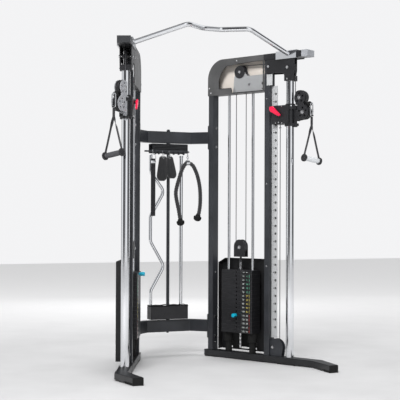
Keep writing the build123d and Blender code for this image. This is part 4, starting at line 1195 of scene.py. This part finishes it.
# ---------------------------------------------------------------- labels and hardware, mm
HEAD_LOW, PITCH, PLATE_T = 561.5, 25.7, 25.2    # head plate underside, plate pitch, thickness
STACK_U = 236.4                                 # axis of the stack's rod
PLATES = 16
LIFTED = {"right": 12, "left": 1}               # plates that ride with the stack, from the top
LABEL_U, LABEL_W, PRINT_W, TEXT_W = 312, 47.72, 48.05, 48.08
STRIP_U, STRIP_TOP, STRIP_PITCH, STRIP_HOLES = 521, 1729.4, 50, 31
STRIP_MARK_U = 505.5
OPEN_HOLE = 2                                   # strip hole left without a disc of painted shade
UPRIGHT_SCREW_U = 469.5
# Disc of painted shade sat in a strip hole, (radius, height) in mm
HOLE_SHADE_DISC = [(0, -3.0), (5.7, -3.0), (5.9, -2.95), (5.9, -2.78), (5.7, -2.72), (0, -2.72)]
STUD_NUT = [(0, 0), (14.6, 0), (15.6, 0.8), (15.6, 5.6), (14.6, 6.4), (0, 6.4)]
FERRULE = [(0, 1503), (5.5, 1503), (6.5, 1504), (6.5, 1513), (5.5, 1514.5), (0, 1514.5)]
# Bearings: pulley, centre, half width, whether it sits on the arm
BEARINGS = (
    ("top_pulley", TOP_PULLEY, 25, False),
    ("hood_pulley", HOOD_PULLEY, 13, False),
    ("transfer_pulley_rear", REAR_PULLEY, 13, False),
    ("transfer_pulley_front", FRONT_PULLEY, 13, False),
    ("lower_pulley", LOW_PULLEY, 12, False),
    ("travelling_pulley", TRAVELLING_PULLEY, 13, False),
    ("swivel_pulley_upper", SWIVEL_UPPER, 15, True),
    ("swivel_pulley_lower", SWIVEL_LOWER, 15, True))


@functools.cache
def glyphs(text, height):
    """Vertices and faces of thin extruded text."""
    curve = bpy.data.curves.new("text", "FONT")
    curve.body = text
    curve.size = height * 1.38
    curve.align_x, curve.align_y = "CENTER", "CENTER"
    curve.extrude = 0.00012
    curve.resolution_u = 3
    obj = link_object("text", curve)
    bpy.context.view_layer.update()
    evaluated = obj.evaluated_get(bpy.context.evaluated_depsgraph_get())
    mesh = bpy.data.meshes.new_from_object(evaluated)
    bm = bmesh.new()
    bm.from_mesh(mesh)
    bmesh.ops.remove_doubles(bm, verts=bm.verts, dist=1e-6)
    bmesh.ops.recalc_face_normals(bm, faces=bm.faces)
    bm.verts.ensure_lookup_table()
    verts = [v.co.copy() for v in bm.verts]
    faces = [tuple(v.index for v in face.verts) for face in bm.faces]
    bm.free()
    bpy.data.objects.remove(obj)
    bpy.data.curves.remove(curve)
    bpy.data.meshes.remove(mesh)
    return verts, faces


def write(piece, side, text, u, w, z, height):
    """Adds text that faces inward."""
    flat_verts, faces = glyphs(text, height)
    inward = tower_dir(side, 0, 1)
    x = (-inward).cross(UNIT_Z)
    origin = tower(side, u, w, z)
    verts = [origin + x * q.x + UNIT_Z * q.y + inward * q.z for q in flat_verts]
    piece.add(verts, faces, [(v.x, v.z) for v in verts])


def patch(piece, side, u, w, z, size, r=0.0001):
    """Adds a thin box flat on the inward side."""
    axes = (tower_dir(side, 1, 0), UNIT_Z, tower_dir(side, 0, 1))
    piece.add(*rounded_box(tower(side, u, w, z), axes, size, r, 2))


def plate_labels(side, part, rows, body):
    """Film, two numbers and a colour bar on each plate; two dashes on the head plate."""
    inks = {name: Piece() for name in ("film", "pale", "green", "yellow", "red")}
    for k in rows:
        z = HEAD_LOW - PITCH * k + PLATE_T / 2
        patch(inks["film"], side, LABEL_U, LABEL_W, z, (0.074, 0.0215, 0.0005))
        if k == 0:
            for du in (-14, 12):
                patch(inks["pale"], side, LABEL_U + du, PRINT_W, z, (0.012, 0.0022, 0.0004))
            continue
        band = "green" if k <= 5 else "yellow" if k <= 10 else "red"
        number_ink = "pale" if band == "red" else band
        write(inks["pale"], side, str(10 * k), 295, TEXT_W, z, 0.0115)
        write(inks[number_ink], side, str(round(k * 4.5)), 325, TEXT_W, z, 0.0115)
        patch(inks[band], side, 344, PRINT_W, z, (0.0020, 0.0205, 0.0004))
    for name, piece in inks.items():
        if piece.verts:
            material = "label" if name == "film" else f"ink_{name}"
            piece.build(f"label_{name}_{part}_{side}", material, body, slot="black_plastic",
                        sharp=30)


def strip_numbers(side):
    """Numbers and dashes in turn beside the holes of the strip."""
    piece = Piece()
    for k in range(STRIP_HOLES):
        z = STRIP_TOP - STRIP_PITCH * k
        if k % 2:
            write(piece, side, str(STRIP_HOLES - k), STRIP_MARK_U, 3.14, z, 0.0085)
        else:
            patch(piece, side, STRIP_MARK_U, 3.1, z, (0.004, 0.0016, 0.0004))
    piece.build(f"strip_numbers_{side}", "dark_ink_and_shade", "root", slot="black_plastic", sharp=30)


def strip_eyelets(side):
    """Painted shade: dark rings round the holes on both faces, and dark discs within them,
    standing for the shade at the rims and in the holes.
    """
    piece = Piece()
    heights = [STRIP_TOP - STRIP_PITCH * k for k in range(STRIP_HOLES)]
    for z in heights:
        for w in (3.15, -3.15):
            ring = [tower(side, STRIP_U + 6.9 * cos(t), w, z + 6.9 * sin(t))
                    for t in full_turn(20)]
            piece.add(*sweep(ring, circle(0.00085, 6), closed=True))
    for k, z in enumerate(heights):
        if k != OPEN_HOLE:
            piece.turn_placed(HOLE_SHADE_DISC, lambda q: tower(side, STRIP_U + q.x, q.z, z + q.y), 20)
    piece.build(f"strip_eyelets_{side}", "dark_ink_and_shade", "root", slot="black_plastic", sharp=60)


def stack_stud(side):
    """Threaded stud over the head plate, with its nut."""
    profile = [(0, 592.8), (8.3, 592.8)]
    z = 593.0
    while z < 636.5:
        profile += [(9.2, z + 0.9), (8.3, z + 2.0)]
        z += 2.4
    profile += [(8.3, 639.8), (0, 639.8)]
    piece = Piece()
    piece.turn(profile, tower(side, STACK_U, 0, 0), UNIT_Z, 22)
    nut = tower(side, STACK_U, 0, HEAD_LOW + PLATE_T)
    piece.turn_placed(STUD_NUT, lambda q: nut + q / 1000, 6)
    piece.build(f"stack_stud_{side}", "bolt_steel", f"stack_{side}", sharp=30)


def selector_rod_foot(side):
    """Foot of the selector rod, grooved at the plate pitch."""
    profile = [(0, 73.6), (6.5, 73.6), (8.2, 75.5)]
    z = 80.0
    while z < 140:
        profile += [(8.25, z), (8.25, z + 16), (7.4, z + 17), (7.4, z + 21), (8.25, z + 22)]
        z += PITCH
    profile += [(8.25, z), (8.25, 176), (0, 176)]
    piece = Piece()
    piece.turn(profile, tower(side, STACK_U, 0, 0), UNIT_Z, 24)
    piece.build(f"selector_rod_foot_{side}", "bolt_steel", f"stack_{side}", sharp=30)


def pulley_bearing(side, name, centre, half, on_arm):
    """Two flat rings on each face of a pulley."""
    axis = arm_dir(side, 0, 1) if on_arm else tower_dir(side, 0, 1)
    piece = Piece()
    for sign in (1, -1):
        w = sign * (half + 0.15)
        for r, width, thick in ((9.4, 3.4, 0.7), (12.2, 0.7, 0.9)):
            ring = []
            for t in full_turn(28):
                a, z = centre[0] + r * cos(t), centre[1] + r * sin(t)
                ring.append(arm(side, a, z, w) if on_arm else tower(side, a, w, z))
            section = [(b / 1000, a / 1000) for a, b in rounded_rect(width, thick, 0.25, 2)]
            piece.add(*sweep(ring, section, closed=True, fixed=axis))
    piece.build(f"{name}_bearing_{side}", "bolt_steel", f"{name}_{side}", sharp=40)


def screws_and_nuts(side):
    front, inward = tower_dir(side, 1, 0), tower_dir(side, 0, 1)

    piece = Piece()
    for u, z in ((547, 1538), (569, 1540), (595, 1537), (594, 1644)):
        for sign in (1, -1):
            bolt_head(piece, tower(side, u, 40 * sign, z), inward * sign, r=0.0046, h=0.0030)
    piece.build(f"carriage_screws_{side}", "bolt_steel", f"carriage_{side}", sharp=30)

    piece = Piece()
    for z in (565, 97):
        bolt_head(piece, tower(side, 20, 0, z), front, r=0.0062, h=0.0040)
    for z in (620, 1150, 1700):
        bolt_head(piece, tower(side, UPRIGHT_SCREW_U, 30, z), inward, r=0.0050, h=0.0032)
    for sign in (1, -1):
        bolt_head(piece, tower(side, 634, 38 * sign, 1815.6), inward * sign, r=0.0062, h=0.0040)
    piece.build(f"upright_screws_{side}", "bolt_steel", "root", sharp=30)

    piece = Piece()
    bolt_head(piece, tower(side, 633 + 25.2, 0, 57), front, r=0.0070, h=0.0050)
    piece.build(f"column_foot_bolts_{side}", "bolt_steel", "root", sharp=30)

    piece = Piece()
    for x, z in (SWIVEL_UPPER, SWIVEL_LOWER):
        for sign in (1, -1):
            hex_nut(piece, arm(side, x, z, 22.02 * sign), arm_dir(side, 0, sign),
                    r=0.0102, h=0.0066)
    piece.build(f"swivel_axle_nuts_{side}", "bolt_steel", f"swivel_{side}", sharp=30)

    piece = Piece()
    u, z = TRAVELLING_PULLEY
    for sign in (1, -1):
        hex_nut(piece, tower(side, u, 17.02 * sign, z), tower_dir(side, 0, sign),
                r=0.0106, h=0.0068)
    piece.build(f"stack_axle_nuts_{side}", "bolt_steel", f"stack_{side}", sharp=30)


def cable_ferrule(side):
    """End fitting of the cable on the carriage."""
    piece = Piece()
    piece.turn(FERRULE, tower(side, LOW_PULLEY[0] + LOW_R, 0, 0), UNIT_Z, 24)
    piece.build(f"cable_ferrule_{side}", "bolt_steel", f"carriage_{side}", sharp=30)


def upright_cover(side):
    """Pale cover on the head of the front upright."""
    piece = Piece()
    patch(piece, side, 491, 30.6, 1820.5, (0.046, 0.071, 0.0012), r=0.0004)
    piece.build(f"upright_cover_{side}", "zinc", "root", slot="silver_steel", sharp=30)


for side in SIDES:
    plate_labels(side, "lifted", range(LIFTED[side]), f"stack_{side}")
    plate_labels(side, "resting", range(LIFTED[side], PLATES), "root")
    strip_numbers(side)
    strip_eyelets(side)
    stack_stud(side)
    selector_rod_foot(side)
    for row in BEARINGS:
        pulley_bearing(side, *row)
    screws_and_nuts(side)
    cable_ferrule(side)
    upright_cover(side)


# ---------------------------------------------------------------- camera, floor, lights
def camera():
    yaw, pitch, roll = 0.41970, 0.015055, 0.00373   # radians
    forward = Vector((sin(yaw) * cos(pitch), cos(yaw) * cos(pitch), sin(pitch)))
    level = Vector((cos(yaw), -sin(yaw), 0))
    up = level.cross(forward)
    data = bpy.data.cameras.new("camera")
    data.sensor_width = 36
    data.sensor_fit = "HORIZONTAL"
    data.lens = 94.8636
    data.clip_end = 100
    obj = link_object("camera", data)
    axes = (level * cos(roll) + up * sin(roll), -level * sin(roll) + up * cos(roll), -forward)
    matrix = Matrix(axes).transposed().to_4x4()
    matrix.translation = Vector((-2.7024 + CENTRE_X / 1000, -6.4647 + TOWER_Y / 1000, 0.9419))
    obj.matrix_world = matrix
    bpy.context.scene.camera = obj


def studio_floor():
    """Grey near the machine; farther out it turns paler and faintly glows, painted light that
    makes up for the lamps' fall-off.
    """
    k = Shader("studio_floor")
    distance = k.node("ShaderNodeVectorMath", operation="LENGTH")
    k.link(k.coord(), distance.inputs[0])
    # Painted light: a paler colour and a faint glow grow with distance from the origin.
    far_painted_light = k.remap(k.math("MULTIPLY", distance.outputs["Value"], 0.1), src=(0.16, 0.60))
    near_tone = k.mix(k.remap(k.noise(scale=3), src=(0.3, 0.7)),
                      (0.46, 0.46, 0.465), (0.50, 0.50, 0.505))
    k.set(color=k.mix(far_painted_light, near_tone, (0.80, 0.80, 0.805)), rough=0.75, spec=0.2)
    k.feed(k.bsdf.inputs["Emission Color"], (1, 1, 1.01))
    k.link(k.math("MULTIPLY", far_painted_light, 0.30), k.bsdf.inputs["Emission Strength"])
    k.bump(k.noise(scale=420, detail=2), strength=0.15, distance=0.0006)
    half = 14.0
    mesh = bpy.data.meshes.new("floor")
    mesh.from_pydata([(-half, -half, 0), (half, -half, 0), (half, half, 0), (-half, half, 0)],
                     [], [(0, 1, 2, 3)])
    mesh.materials.append(k.material)
    link_object("floor", mesh)


def area_light(name, place, target, size, power):
    data = bpy.data.lights.new(name, "AREA")
    data.shape = "RECTANGLE"
    data.size, data.size_y = size, size
    data.energy = power
    obj = link_object(name, data)
    aim = (Vector(target) - Vector(place)).normalized().to_track_quat("-Z", "Y")
    obj.matrix_world = Matrix.Translation(Vector(place)) @ aim.to_matrix().to_4x4()
    obj.visible_glossy = False


def studio_world():
    """Even light, a banded room for reflections and a plain surround for the camera."""
    world = bpy.data.worlds.new("studio")
    bpy.context.scene.world = world
    world.use_nodes = True
    k = Nodes(world.node_tree)

    def background(color, strength):
        node = k.node("ShaderNodeBackground")
        k.feed(node.inputs[0], color)
        node.inputs[1].default_value = strength
        return node.outputs[0]

    def choose(ray, otherwise, chosen):
        node = k.node("ShaderNodeMixShader")
        for target, source in zip(node.inputs, (rays.outputs[ray], otherwise, chosen)):
            k.link(source, target)
        return node.outputs[0]

    # What shiny metal sees: three pale and three dark upright bands round the room.
    direction = k.node("ShaderNodeSeparateXYZ")
    k.link(k.node("ShaderNodeTexCoord").outputs["Generated"], direction.inputs[0])
    heading = k.math("ARCTAN2", direction.outputs[1], direction.outputs[0])
    wave = k.math("SINE", k.math("MULTIPLY", heading, 3.0))
    bands = k.node("ShaderNodeValToRGB")
    stops = bands.color_ramp.elements
    stops[0].position, stops[1].position = 0.22, 0.97
    for position in (0.50, 0.80):
        stops.new(position)
    for stop, color in zip(stops, ((0.10, 0.10, 0.105), (0.42, 0.425, 0.435),
                                   (0.72, 0.73, 0.745), (1.20, 1.21, 1.23))):
        stop.color = (*color, 1)
    k.link(k.remap(wave, src=(-1, 1)), bands.inputs[0])

    rays = k.node("ShaderNodeLightPath")
    even = background(color=(1.0, 1.0, 1.0), strength=0.42)
    room = background(color=bands.outputs[0], strength=0.95)
    surround = background(color=(0.90, 0.90, 0.91), strength=1.0)
    lit = choose("Is Glossy Ray", even, room)
    output = k.node("ShaderNodeOutputWorld")
    k.link(choose("Is Camera Ray", lit, surround), output.inputs[0])


camera()
studio_floor()
area_light("key", place=(-3.0, -3.6, 4.6), target=(0, 0, 1.0), size=2.0, power=330)
area_light("fill", place=(4.2, -3.2, 2.4), target=(0, 0, 1.0), size=2.4, power=60)
area_light("top", place=(0.2, 0.6, 4.6), target=(0, 0, 0.9), size=2.4, power=150)
area_light("back", place=(1.5, 4.6, 2.8), target=(0, 0, 1.2), size=2.6, power=70)
studio_world()

view = bpy.context.scene.view_settings
view.view_transform = "Standard"
view.look = "None"
view.exposure = 0.0
